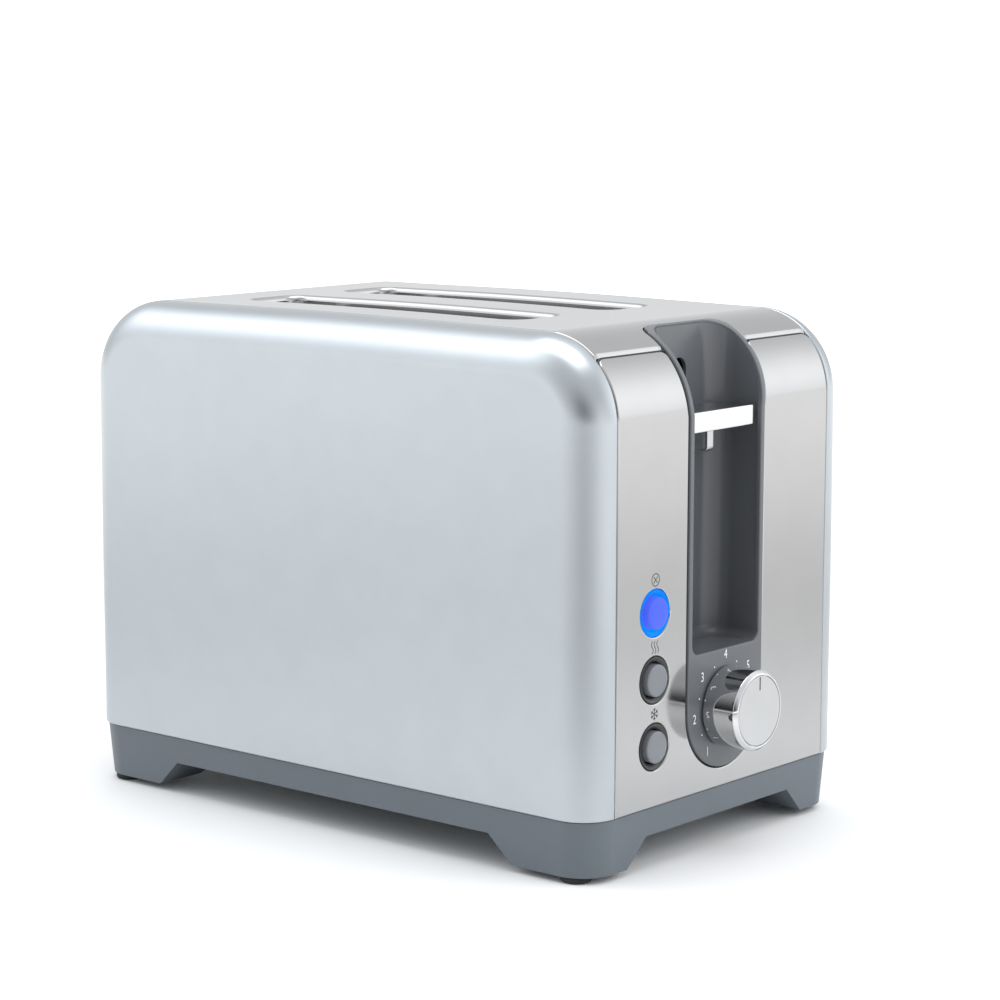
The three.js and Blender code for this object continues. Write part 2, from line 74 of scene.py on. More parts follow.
# ---------------------------------------------------------------- driving sizes
SHELL_LOW, SHELL_HIGH = span("near_side_shell")
HALF_LENGTH = SHELL_HIGH.x
HALF_WIDTH = -SHELL_LOW.y
SEAM_Z = SHELL_LOW.z
HEIGHT = span("top_panel")[1].z
CROWN = 0.7
TOP_RADIUS = 34
EDGE_RADIUS = 15.7
SHEET = 0.7
SEAM_GAP = 0.3
SEAM_Y = HALF_WIDTH - EDGE_RADIUS
HEM = 0.8

ARC_X = HALF_LENGTH - TOP_RADIUS
ARC_Z = HEIGHT - CROWN - TOP_RADIUS
UPRIGHT = ARC_Z - SEAM_Z
QUARTER = TOP_RADIUS * math.pi / 2
AROUND = 2 * (UPRIGHT + QUARTER + ARC_X)
GROOVE = UPRIGHT + TOP_RADIUS * math.radians(47.5)

BEZEL_HALF = span("lever_bezel")[1].y
BEZEL_PROUD = 0.6
BEZEL_EDGE = 0.6
TROUGH_HALF = 22
TROUGH_BACK = 114.3
TROUGH_FLOOR = 80.5
TROUGH_CORNER = 10
FLARE = 1.9

DIAL_LOW, DIAL_HIGH = span("dial_knob")
DIAL_Z = (DIAL_LOW.z + DIAL_HIGH.z) / 2
BUTTON_Y = sum(corner.y for corner in span("cancel_button_cap")) / 2
BUTTONS = {name: sum(corner.z for corner in span(f"{name}_button_cap")) / 2
           for name in ("cancel", "reheat", "defrost")}


# ---------------------------------------------------------------- hand tools
def only(piece):
    """Selects one object alone and makes it active."""
    bpy.ops.object.select_all(action="DESELECT")
    piece.select_set(True)
    bpy.context.view_layer.objects.active = piece


@contextmanager
def editing(piece):
    """Edit mode on one piece, left again at the end of the block."""
    only(piece)
    bpy.ops.object.mode_set(mode="EDIT")
    yield piece
    bpy.ops.object.mode_set(mode="OBJECT")


def pick(piece, kind, test):
    """In edit mode, selects just the verts, edges or faces that pass a test."""
    bpy.ops.mesh.select_mode(type={"verts": "VERT", "edges": "EDGE", "faces": "FACE"}[kind])
    bpy.ops.mesh.select_all(action="DESELECT")
    mesh = bmesh.from_edit_mesh(piece.data)
    for part in getattr(mesh, kind):
        if test(part):
            part.select_set(True)
    mesh.select_flush_mode()
    bmesh.update_edit_mesh(piece.data)


def centre(part):
    """The middle of the corners of a face or an edge."""
    return sum((vert.co for vert in part.verts), Vector()) / len(part.verts)


def runs(edge, axis):
    """True for an edge that lies along an axis."""
    one, other = edge.verts
    return abs((other.co - one.co).normalized().dot(axis)) > 0.999


def named(name):
    """Names the piece just made, and its mesh."""
    piece = bpy.context.object
    piece.name = name
    piece.data.name = name
    bpy.ops.object.transform_apply(location=True, rotation=True, scale=True)
    return piece


def block(name, low, high):
    """A cube primitive, at its size and place."""
    low, high = Vector(low), Vector(high)
    bpy.ops.object.select_all(action="DESELECT")
    bpy.ops.mesh.primitive_cube_add(size=1, location=(low + high) / 2)
    bpy.context.object.scale = high - low
    return named(name)


def rod(name, axis, radius, low, high, place, vertices=24):
    """A cylinder primitive along an axis, from low to high, through a place."""
    middle = Vector(place) * (Vector((1, 1, 1)) - axis) + axis * (low + high) / 2
    turn = axis.to_track_quat("Z", "Y").to_euler()
    bpy.ops.object.select_all(action="DESELECT")
    bpy.ops.mesh.primitive_cylinder_add(vertices=vertices, radius=radius, depth=high - low,
                                        location=middle, rotation=turn)
    return named(name)


def modify(piece, kind, **settings):
    """Adds a modifier with its settings and applies it."""
    only(piece)
    modifier = piece.modifiers.new(kind.lower(), kind)
    for setting, value in settings.items():
        setattr(modifier, setting, value)
    bpy.ops.object.modifier_apply(modifier=modifier.name)


def cut(piece, *tools, operation="DIFFERENCE"):
    """Cuts tools out of a piece, or joins or intersects them with it, and removes the tools."""
    for tool in tools:
        modify(piece, "BOOLEAN", object=tool, operation=operation, solver="EXACT")
        bpy.data.objects.remove(tool)
    return piece


def joined(name, pieces):
    """Several pieces as one."""
    bpy.ops.object.select_all(action="DESELECT")
    for piece in pieces:
        piece.select_set(True)
    bpy.context.view_layer.objects.active = pieces[0]
    bpy.ops.object.join()
    whole = bpy.context.object
    whole.name = name
    whole.data.name = name
    return whole


def copied(piece, name, matrix):
    """Another of a piece, with a mesh of its own, moved or mirrored by a matrix."""
    twin = piece.copy()
    twin.data = piece.data.copy()
    twin.name = name
    twin.data.name = name
    bpy.context.scene.collection.objects.link(twin)
    twin.data.transform(matrix)
    if matrix.determinant() < 0:
        twin.data.flip_normals()
    return twin


def round_edges(piece, test, radius, segments):
    """Rounds the edges that pass a test."""
    with editing(piece):
        pick(piece, "edges", test)
        bpy.ops.mesh.bevel(offset=radius, offset_type="OFFSET", segments=segments, affect="EDGES")


def soften(piece, width, segments=2, angle=35):
    """Takes the sharpness off a piece's edges."""
    modify(piece, "BEVEL", width=width, segments=segments, limit_method="ANGLE",
           angle_limit=math.radians(angle), use_clamp_overlap=True)
    return piece


def outward(piece):
    """Merges doubled corners and turns the normals outward."""
    with editing(piece):
        bpy.ops.mesh.select_all(action="SELECT")
        bpy.ops.mesh.remove_doubles(threshold=0.0005)
        bpy.ops.mesh.normals_make_consistent(inside=False)
    return piece


def smooth(piece, angle=32):
    """Smooth shading, except over edges sharper than an angle in degrees."""
    only(piece)
    bpy.ops.object.shade_smooth_by_angle(angle=math.radians(angle))
    modify(piece, "WEIGHTED_NORMAL", keep_sharp=True, weight=50)
    return piece


def turned(name, axis, rings, place, vertices=48, capped=True):
    """A circle drawn out ring by ring along an axis; rings are (distance along the axis, radius)."""
    across = Vector((1, 1, 1)) - axis
    base_point = Vector(place) * across
    first, radius = rings[0]
    bpy.ops.object.select_all(action="DESELECT")
    bpy.ops.mesh.primitive_circle_add(vertices=vertices, radius=radius, fill_type="NOTHING",
                                      location=base_point + axis * first,
                                      rotation=axis.to_track_quat("Z", "Y").to_euler())
    piece = named(name)
    with editing(piece):
        bpy.ops.mesh.select_mode(type="EDGE")
        bpy.ops.mesh.select_all(action="SELECT")
        for (along, wide), (next_along, next_wide) in zip(rings, rings[1:]):
            bpy.ops.mesh.extrude_region_move(
                TRANSFORM_OT_translate={"value": axis * (next_along - along)})
            bpy.ops.transform.resize(value=axis + across * (next_wide / wide),
                                     center_override=base_point + axis * next_along)
        bpy.ops.mesh.select_all(action="SELECT")
        bpy.ops.mesh.remove_doubles(threshold=0.0005)
        if capped:
            pick(piece, "edges", lambda edge: edge.is_boundary)
            bpy.ops.mesh.edge_face_add()
            # The two ends are separate loops, so each is filled on its own.
            for along, _ in (rings[0], rings[-1]):
                pick(piece, "edges", lambda edge: edge.is_boundary
                     and abs(centre(edge).dot(axis) - along) < 0.01)
                if any(e.select for e in bmesh.from_edit_mesh(piece.data).edges):
                    bpy.ops.mesh.edge_face_add()
        bpy.ops.mesh.select_all(action="SELECT")
        bpy.ops.mesh.normals_make_consistent(inside=False)
    return piece


def settle(piece, body, material, nodes=()):
    """Takes a finished piece to metres in the frame, and gives it its body, finish and nodes."""
    if nodes:
        piece.name = piece.data.name = f"{nodes[0]}_shape"
    piece.data.transform(Matrix.Translation(MIDDLE) @ Matrix.Scale(MM, 4))
    piece.data.materials.clear()
    piece.data.materials.append(material)
    if body:
        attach(piece, body)
    if nodes:
        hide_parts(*nodes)
    return piece


# ---------------------------------------------------------------- sheet metal
def on_body(distance):
    """Where the body's outline is, and its normal, as (x, z), at a distance along it: up the front
    end from the seam, over the top and down the rear."""
    if distance > AROUND / 2:
        (x, z), (nx, nz) = on_body(AROUND - distance)
        return (-x, z), (-nx, nz)
    if distance < UPRIGHT:
        return (HALF_LENGTH, SEAM_Z + distance), (1, 0)
    distance -= UPRIGHT
    if distance < QUARTER:
        turn = distance / TOP_RADIUS
        nx, nz = math.cos(turn), math.sin(turn)
        return (ARC_X + TOP_RADIUS * nx, ARC_Z + TOP_RADIUS * nz), (nx, nz)
    x = ARC_X - (distance - QUARTER)
    share = x / ARC_X
    slope = -4 * CROWN * share * (1 - share ** 2) / ARC_X
    normal = Vector((-slope, 1)).normalized()
    return (x, HEIGHT - CROWN + CROWN * (1 - share ** 2) ** 2), (normal.x, normal.y)


def along_top(x):
    """Distance along the outline to a place on the flat of the top."""
    return UPRIGHT + QUARTER + ARC_X - x


def up_front(z):
    """The distance up the front end from the seam, for a height."""
    return z - SEAM_Z


def over_arc(x):
    """Distance along the outline to a place on the front corner's arc."""
    return UPRIGHT + TOP_RADIUS * math.acos((x - ARC_X) / TOP_RADIUS)


def outline(corners):
    """Points of a closed outline; each corner is (u, v, radius)."""
    points = []
    for i, (u, v, radius) in enumerate(corners):
        corner = Vector((u, v))
        before = (Vector(corners[i - 1][:2]) - corner).normalized()
        after = (Vector(corners[(i + 1) % len(corners)][:2]) - corner).normalized()
        if radius < 0.01:
            points.append(corner)
            continue
        opening = before.angle(after)
        reach = radius / math.tan(opening / 2)
        hub = corner + (before + after).normalized() * radius / math.sin(opening / 2)
        start = corner + before * reach - hub
        end = corner + after * reach - hub
        sweep = start.angle_signed(end)
        steps = max(3, math.ceil(abs(sweep) / math.radians(7)))
        for step in range(steps + 1):
            turn = Matrix.Rotation(-sweep * step / steps, 2)
            points.append(hub + turn @ start)
    return [point for i, point in enumerate(points) if (point - points[i - 1]).length > 0.01]


def circle_outline(u, v, radius, steps=48):
    """A circle as a closed outline."""
    return [Vector((u + radius * math.cos(math.tau * i / steps),
                    v + radius * math.sin(math.tau * i / steps))) for i in range(steps)]


def grown(points, amount):
    """An outline moved outwards by an amount, or inwards by a negative one."""
    area = sum(a.x * b.y - b.x * a.y for a, b in zip(points, points[1:] + points[:1]))
    side = 1 if area > 0 else -1
    moved = []
    for i, point in enumerate(points):
        before = (point - points[i - 1]).normalized()
        after = (points[(i + 1) % len(points)] - point).normalized()
        out_before = Vector((before.y, -before.x)) * side
        out_after = Vector((after.y, -after.x)) * side
        out = (out_before + out_after).normalized()
        moved.append(point + out * amount / max(0.35, out.dot(out_after)))
    return moved


def flat_sheet(name, outer, holes=()):
    """A flat piece of sheet with the given outline and holes, before it is bent."""
    drawing = bpy.data.curves.new(name, "CURVE")
    drawing.dimensions = "2D"
    drawing.fill_mode = "BOTH"
    for points in (outer, *holes):
        line = drawing.splines.new("POLY")
        line.points.add(len(points) - 1)
        line.use_cyclic_u = True
        for spot, point in zip(line.points, points):
            spot.co = (point.x, point.y, 0, 1)
    sheet = bpy.data.objects.new(name, drawing)
    bpy.context.scene.collection.objects.link(sheet)
    only(sheet)
    bpy.ops.object.convert(target="MESH")
    sheet = bpy.context.object
    with editing(sheet):
        bpy.ops.mesh.select_all(action="SELECT")
        bpy.ops.mesh.remove_doubles(threshold=0.0005)
    if sheet.data.polygons[0].normal.z < 0:
        sheet.data.flip_normals()
    return sheet


def score(sheet, axis, places, zone=None):
    """Cuts lines across a sheet at places along an axis, all over it or in a zone of its faces."""
    with editing(sheet):
        for place in places:
            if zone:
                pick(sheet, "faces", lambda face: zone(centre(face)))
            else:
                bpy.ops.mesh.select_all(action="SELECT")
            bpy.ops.mesh.bisect(plane_co=axis * place, plane_no=axis, threshold=0.0001)


def hem(sheet, radius, test=lambda point: True, steps=4, drop=0.0):
    """Rolls a sheet's free edges down round a radius, and then draws them straight down."""
    flat = all(abs(vert.co.z) < 0.001 for vert in sheet.data.vertices)
    if flat:
        with editing(sheet):
            bpy.ops.mesh.select_all(action="SELECT")
            bpy.ops.mesh.remove_doubles(threshold=0.01)
    with editing(sheet):
        pick(sheet, "edges", lambda edge: edge.is_boundary and test(centre(edge)))
        mesh = bmesh.from_edit_mesh(sheet.data)
        edge_out = {}
        for edge in mesh.edges:
            if edge.select:
                loop = edge.link_loops[0]
                along = loop.link_loop_next.vert.co - loop.vert.co
                out = along.cross(Z if flat else loop.face.normal)
                for vert in edge.verts:
                    edge_out.setdefault(vert.index, []).append(out)
        start, away, down = {}, {}, {}
        mesh.verts.ensure_lookup_table()
        for index, outs in edge_out.items():
            vert = mesh.verts[index]
            outs = [out for out in outs if out.length > 0.08] or outs
            mean = sum((out.normalized() for out in outs), Vector()).normalized()
            longest = max(outs, key=lambda out: out.length).normalized()
            away[index] = mean / max(0.5, mean.dot(longest))
            faces = sum((face.normal for face in vert.link_faces), Vector())
            down[index] = -Z if flat else -faces.normalized()
            start[index] = vert.co.copy()
        source = {index: index for index in start}
        path = [(math.sin(turn), 1 - math.cos(turn), 0)
                for turn in (math.pi / 2 * (step + 1) / steps for step in range(steps))]
        if drop:
            path.append((1, 1, drop))
        for sideways, below, extra in path:
            bpy.ops.mesh.extrude_region()
            mesh = bmesh.from_edit_mesh(sheet.data)
            mesh.verts.ensure_lookup_table()
            fresh = {}
            for vert in mesh.verts:
                if vert.select:
                    for edge in vert.link_edges:
                        old = edge.other_vert(vert).index
                        if old in source and not edge.other_vert(vert).select:
                            fresh[vert.index] = source[old]
            for index, origin in fresh.items():
                mesh.verts[index].co = (start[origin] + away[origin] * radius * sideways
                                        + down[origin] * (radius * below + extra))
            source = fresh
            bmesh.update_edit_mesh(sheet.data)


def bend_round(sheet, lift=0.0):
    """Wraps a flat sheet, drawn in (distance, y), round the body, and gives it its true normals."""
    mesh = sheet.data
    outer = {polygon.index for polygon in mesh.polygons if polygon.normal.z > 0.3}
    height = [vert.co.z for vert in mesh.vertices]
    crest = max(height)
    normals = []
    for vert in mesh.vertices:
        (x, z), (nx, nz) = on_body(vert.co.x)
        rise = vert.co.z + lift
        normals.append(Vector((nx, 0, nz)))
        vert.co = (x + nx * rise, vert.co.y, z + nz * rise)
    # A plan drawn in (distance, y) turns over as it wraps, so the faces are turned back.
    mesh.flip_normals()
    mesh.update()
    only(sheet)
    bpy.ops.object.shade_smooth_by_angle(angle=math.radians(40))
    corner = [Vector(item.vector) for item in mesh.corner_normals]
    for polygon in mesh.polygons:
        if polygon.index in outer:
            for loop in polygon.loop_indices:
                vertex = mesh.loops[loop].vertex_index
                if height[vertex] > crest - 0.001:
                    corner[loop] = normals[vertex]
    mesh.normals_split_custom_set([normal.normalized() for normal in corner])
    return sheet


def fine_steps(low, high, step):
    """Even places from low to high, about a step apart."""
    count = max(1, round((high - low) / step))
    return [low + (high - low) * i / count for i in range(count + 1)]


BENDS = (fine_steps(UPRIGHT, UPRIGHT + QUARTER, 0.9)
         + fine_steps(UPRIGHT + QUARTER + 8, AROUND / 2 + ARC_X - 8, 8)
         + fine_steps(AROUND - UPRIGHT - QUARTER, AROUND - UPRIGHT, 0.9))


def flared(sheet):
    """Widens the bezel's opening a little where it passes over the corner."""
    for vert in sheet.data.vertices:
        turn = (vert.co.x - UPRIGHT) / TOP_RADIUS
        if 0 < turn < math.radians(90):
            reach = abs(vert.co.y)
            share = min(1, reach / 8) if reach < 30 else max(0, (62 - reach) / 32)
            share = share * share * (3 - 2 * share)
            swell = math.sin(min(1, turn / math.radians(86)) * math.pi) ** 0.8
            vert.co.y += math.copysign(FLARE * swell * share, vert.co.y)
    return sheet


# ---------------------------------------------------------------- finishes
def finish(name, colour, metallic, roughness, **sockets):
    """A shader with its constant values on its own sockets; returns it with its node tree."""
    made = bpy.data.materials.new(name)
    made.use_nodes = True
    tree = made.node_tree
    shader = tree.nodes["Principled BSDF"]
    shader.inputs["Base Color"].default_value = (*colour, 1)
    shader.inputs["Metallic"].default_value = metallic
    shader.inputs["Roughness"].default_value = roughness
    for socket, value in sockets.items():
        shader.inputs[socket.replace("_", " ")].default_value = value
    return made, tree, shader


def noise(tree, scale, stretch=(1, 1, 1), detail=3.0, seed=0.0):
    """A noise in object space: scale is in cycles per metre, and stretch slows it along an axis."""
    place = tree.nodes.new("ShaderNodeTexCoord")
    fit = tree.nodes.new("ShaderNodeMapping")
    fit.inputs["Location"].default_value = (seed, seed, seed)
    fit.inputs["Scale"].default_value = stretch
    pattern = tree.nodes.new("ShaderNodeTexNoise")
    pattern.inputs["Scale"].default_value = scale
    pattern.inputs["Detail"].default_value = detail
    tree.links.new(place.outputs["Object"], fit.inputs["Vector"])
    tree.links.new(fit.outputs["Vector"], pattern.inputs["Vector"])
    return pattern.outputs["Fac"]


def ranged(tree, value, low, high, start=0.3, end=0.7):
    """A noise's middle part, spread between two values."""
    spread = tree.nodes.new("ShaderNodeMapRange")
    for socket, number in zip(("From Min", "From Max", "To Min", "To Max"), (start, end, low, high)):
        spread.inputs[socket].default_value = number
    tree.links.new(value, spread.inputs["Value"])
    return spread.outputs["Result"]


def tinted(tree, shader, value, dark, light):
    """Colour that varies a little over a surface, between a dark and a light tone."""
    blend = tree.nodes.new("ShaderNodeMix")
    blend.data_type = "RGBA"
    blend.inputs[6].default_value = (*dark, 1)
    blend.inputs[7].default_value = (*light, 1)
    tree.links.new(value, blend.inputs["Factor"])
    tree.links.new(blend.outputs[2], shader.inputs["Base Color"])


def bumped(tree, shader, value, depth, strength=1.0):
    """Relief from a pattern; depth is in metres."""
    relief = tree.nodes.new("ShaderNodeBump")
    relief.inputs["Distance"].default_value = depth
    relief.inputs["Strength"].default_value = strength
    tree.links.new(value, relief.inputs["Height"])
    tree.links.new(relief.outputs["Normal"], shader.inputs["Normal"])


def metal(name, colour, roughness, spread=0.03, grain=None, grain_depth=0.0, **sockets):
    """Metal with a slight unevenness, and a brushed or rolled grain where it has one."""
    made, tree, shader = finish(name, colour, 1.0, roughness, **sockets)
    cloud = noise(tree, 28, detail=4)
    tree.links.new(ranged(tree, cloud, roughness - spread, roughness + spread),
                   shader.inputs["Roughness"])
    dark = tuple(c * 0.97 for c in colour)
    tinted(tree, shader, ranged(tree, noise(tree, 60, seed=3.1), 0, 1), dark, colour)
    if grain:
        bumped(tree, shader, noise(tree, 900, grain, detail=2, seed=1.7), grain_depth)
    return made


def plastic(name, colour, roughness, grain=900, depth=0.00001, **sockets):
    """Moulded plastic with a fine eroded skin."""
    made, tree, shader = finish(name, colour, 0.0, roughness, **sockets)
    light = tuple(min(1, c * 1.06) for c in colour)
    tinted(tree, shader, ranged(tree, noise(tree, 35, detail=4), 0, 1, 0.1, 0.9), colour, light)
    tree.links.new(ranged(tree, noise(tree, 90, seed=2.3), roughness - 0.015, roughness + 0.015, 0, 1),
                   shader.inputs["Roughness"])
    bumped(tree, shader, noise(tree, grain, detail=2, seed=0.6), depth)
    return made


# How far forward, in metres, a lit button starts to glow: behind this it is in the dark body.
LIT_FROM = MIDDLE.x + 0.131


def glowing(name, colour, glow, strength):
    """Translucent plastic lit from behind, where it shows at the front."""
    made, tree, shader = finish(name, colour, 0.0, 0.3, Specular_IOR_Level=0.05)
    shader.inputs["Emission Color"].default_value = (*glow, 1)
    level = ranged(tree, noise(tree, 70, detail=1), strength * 0.85, strength * 1.15)
    place = tree.nodes.new("ShaderNodeTexCoord")
    parts = tree.nodes.new("ShaderNodeSeparateXYZ")
    tree.links.new(place.outputs["Object"], parts.inputs["Vector"])
    front = ranged(tree, parts.outputs["X"], 0, 1, LIT_FROM, LIT_FROM + 0.0005)
    lit = tree.nodes.new("ShaderNodeMath")
    lit.operation = "MULTIPLY"
    tree.links.new(level, lit.inputs[0])
    tree.links.new(front, lit.inputs[1])
    tree.links.new(lit.outputs[0], shader.inputs["Emission Strength"])
    bumped(tree, shader, noise(tree, 800, detail=2), 0.000005)
    return made


SATIN_STEEL = metal("satin_steel", (0.455, 0.49, 0.515), 0.295, 0.016, (0.03, 1, 1), 0.0000015)
MIRROR_STEEL = metal("mirror_steel", (0.44, 0.44, 0.44), 0.11, 0.015, (1, 0.05, 1), 0.0000004)
CHROME = metal("chrome", (0.66, 0.665, 0.67), 0.05, 0.01)
SATIN_SILVER = metal("satin_silver", (0.54, 0.545, 0.55), 0.30, 0.02)
BEZEL_GREY = plastic("bezel_grey", (0.103, 0.109, 0.119), 0.255, depth=0.000004)
BASE_GREY = plastic("base_grey", (0.105, 0.125, 0.145), 0.42, depth=0.000008)
RING_GREY = plastic("ring_grey", (0.036, 0.038, 0.040), 0.32)
CAP_GREY = plastic("cap_grey", (0.165, 0.178, 0.195), 0.34)
RUBBER = plastic("rubber", (0.012, 0.012, 0.013), 0.75, grain=500, depth=0.00003)
BLACK_PLASTIC = plastic("black_plastic", (0.015, 0.015, 0.017), 0.42)
ZINC = metal("zinc_steel", (0.52, 0.53, 0.54), 0.32, 0.08, (1, 1, 0.05), 0.000002)
REFLECTOR = metal("reflector_steel", (0.62, 0.61, 0.60), 0.22, 0.05, (0.05, 1, 1), 0.000002)
GUARD_WIRE = metal("guard_wire", (0.58, 0.57, 0.56), 0.24, 0.05)
RIBBON = metal("heating_ribbon", (0.40, 0.37, 0.34), 0.38, 0.06)
COIL = metal("coil_copper", (0.60, 0.26, 0.12), 0.30, 0.05, (1, 1, 0.02), 0.00002)
MICA = plastic("mica", (0.42, 0.36, 0.26), 0.5, grain=220, depth=0.00003)
BOARD_GREEN = plastic("board_green", (0.02, 0.11, 0.045), 0.35)
WHITE_PRINT = plastic("white_print", (0.80, 0.81, 0.82), 0.5)
DARK_PRINT = plastic("dark_print", (0.03, 0.03, 0.032), 0.5)
RING_GLOW = glowing("ring_glow", (0.0, 0.02, 0.2), (0.0, 0.25, 1.0), 0.90)
CAP_GLOW = glowing("cap_glow", (0.03, 0.05, 0.25), (0.09, 0.15, 1.0), 0.70)


# ---------------------------------------------------------------- steel body
def side_shell():
    """The near side shell: a block rounded like the body, cut back to its seams and hollowed."""
    shell = block("near_side_shell", (-HALF_LENGTH, -HALF_WIDTH, 0),
                  (HALF_LENGTH, HALF_WIDTH, HEIGHT - CROWN))
    round_edges(shell, lambda edge: runs(edge, Y) and centre(edge).z > SEAM_Z, TOP_RADIUS, 24)
    round_edges(shell, lambda edge: abs(centre(edge).y + HALF_WIDTH) < 0.01, EDGE_RADIUS, 12)
    inner = SEAM_Y + SEAM_GAP / 2 + HEM
    with editing(shell):
        bpy.ops.mesh.select_all(action="SELECT")
        bpy.ops.mesh.bisect(plane_co=Y * -inner, plane_no=Y, clear_outer=True)
        bpy.ops.mesh.select_all(action="SELECT")
        bpy.ops.mesh.bisect(plane_co=Z * (SEAM_Z + HEM), plane_no=Z, clear_inner=True)
    score(shell, X, fine_steps(-ARC_X, ARC_X, 8))
    for vert in shell.data.vertices:
        share = vert.co.x / ARC_X
        if abs(share) < 1 and vert.co.z > ARC_Z:
            full = min(1, (vert.co.z - ARC_Z) / (TOP_RADIUS - EDGE_RADIUS))
            vert.co.z += CROWN * (1 - share ** 2) ** 2 * full
    hem(shell, HEM, steps=4, drop=1.2)
    modify(shell, "SOLIDIFY", thickness=SHEET * 0.8, offset=-1, use_even_offset=False)
    return smooth(shell, 40)


SLOT_FRONT = 67
SLOT_REAR = -81
SLOT_SIDES = (14, 44)
SLOT_CORNER = 7


def slot_outline(side):
    """The mouth of a bread slot inside its rolled lip, in (distance, y)."""
    y0, y1 = sorted(side * edge for edge in SLOT_SIDES)
    u0, u1 = along_top(SLOT_FRONT), along_top(SLOT_REAR)
    corners = ((u0, y0), (u1, y0), (u1, y1), (u0, y1))
    return outline([(u, y, SLOT_CORNER) for u, y in corners])


def end_outline(front):
    """The outline of an end panel in (distance up from the seam, y): soft top corners, and at the
    front a notch for the bezel with a round foot."""
    edge = SEAM_Y - SEAM_GAP / 2
    top = GROOVE - 0.25
    corners = [(0.1, -edge, 0), (0.1, edge, 0), (top, edge, 4)]
    if front:
        half = BEZEL_HALF + 0.35
        foot = up_front(DIAL_Z) - half
        corners += [(top, half, 3.2), (foot, half, half), (foot, -half, half), (top, -half, 3.2)]
    return outline(corners + [(top, -edge, 4)])


def end_panel(name, front):
    """A steel end panel with rolled edges; the front one is notched for the bezel."""
    holes = []
    if front:
        holes = [circle_outline(up_front(z), BUTTON_Y, 9.25) for z in BUTTONS.values()]
    else:
        gland = span("cord_gland")
        holes = [circle_outline(up_front((gland[0].z + gland[1].z) / 2), 35, 6.6)]
    outer = grown(end_outline(front), -HEM)
    sheet = flat_sheet(name, outer, [grown(hole, HEM) for hole in holes])
    score(sheet, X, [bend for bend in BENDS if bend < GROOVE - HEM])
    hem(sheet, HEM, steps=4, drop=0.5)
    modify(sheet, "SOLIDIFY", thickness=SHEET * 0.8, offset=-1, use_even_offset=False)
    if front:
        flared(sheet)
    else:
        for vert in sheet.data.vertices:
            vert.co.x = AROUND - vert.co.x
        sheet.data.flip_normals()
    return bend_round(sheet)


def distance_outside(point, points):
    """How far a point is outside a closed outline, negative within it."""
    best, inside = 1e9, False
    for a, b in zip(points, points[1:] + points[:1]):
        side = b - a
        share = max(0, min(1, (point - a).dot(side) / side.length_squared))
        best = min(best, (point - a - side * share).length)
        if (a.y > point.y) != (b.y > point.y):
            if point.x < a.x + (point.y - a.y) * side.x / side.y:
                inside = not inside
    return -best if inside else best


STEP_WIDTH = 2.2
STEP_GAP = 0.5
STEP_DEPTH = 1.25


def top_panel():
    """The top: slots with rolled lips, and at each end a step down that the end panel's top fits."""
    edge = SEAM_Y - SEAM_GAP / 2
    under = 5
    start, stop = GROOVE - under, AROUND - GROOVE + under
    half = BEZEL_HALF + 0.35
    notch = over_arc(112.7)
    outer = outline([(start, edge, 0), (start, half, 0), (notch, half, 7), (notch, -half, 7),
                     (start, -half, 0), (start, -edge, 0), (stop, -edge, 0), (stop, edge, 0)])
    lip = 2.3
    holes = [grown(slot_outline(side), lip) for side in SIDES.values()]
    sheet = flat_sheet("top_panel", grown(outer, -HEM), holes)
    score(sheet, X, [bend for bend in BENDS if start < bend < stop])
    for low, high in ((start, GROOVE + 4), (AROUND - GROOVE - 4, stop)):
        zone = lambda point: low <= point.x <= high
        score(sheet, X, fine_steps(low + 1, high - 1, 0.4), zone)
        for side in SIDES.values():
            places = fine_steps(61.5, edge - HEM - 0.1, 0.5)
            if low < GROOVE:
                places += fine_steps(half + HEM + 0.1, half + 7, 0.5)
            score(sheet, Y, [side * place for place in places], zone)
    in_slots = lambda point: abs(point.y) < 60 and abs(point.y) > 4 and start + 40 < point.x < stop - 20
    hem(sheet, lip, in_slots, steps=7, drop=6.5)
    hem(sheet, HEM, lambda point: not in_slots(point) and point.z > -0.1, steps=4, drop=1.0)
    modify(sheet, "SOLIDIFY", thickness=SHEET * 0.8, offset=-1, use_even_offset=False)
    front_end = end_outline(True)
    rear_end = end_outline(False)
    for vert in sheet.data.vertices:
        if vert.co.x < GROOVE + 4:
            gap = distance_outside(Vector((vert.co.x, vert.co.y)), front_end)
        elif vert.co.x > AROUND - GROOVE - 4:
            gap = distance_outside(Vector((AROUND - vert.co.x, vert.co.y)), rear_end)
        else:
            continue
        sink = max(0, min(1, (STEP_WIDTH + STEP_GAP - gap) / STEP_WIDTH)) * STEP_DEPTH
        sink += max(0, min(1, (STEP_GAP - gap) / 0.4)) * 1.3
        vert.co.z -= sink
    flared(sheet)
    return bend_round(sheet)


# Size and depth below the steel of the dark strips of painted shade in the step gaps.
SHADE_STRIP_RADIUS = 0.44
SHADE_STRIP_SUNK = 0.62


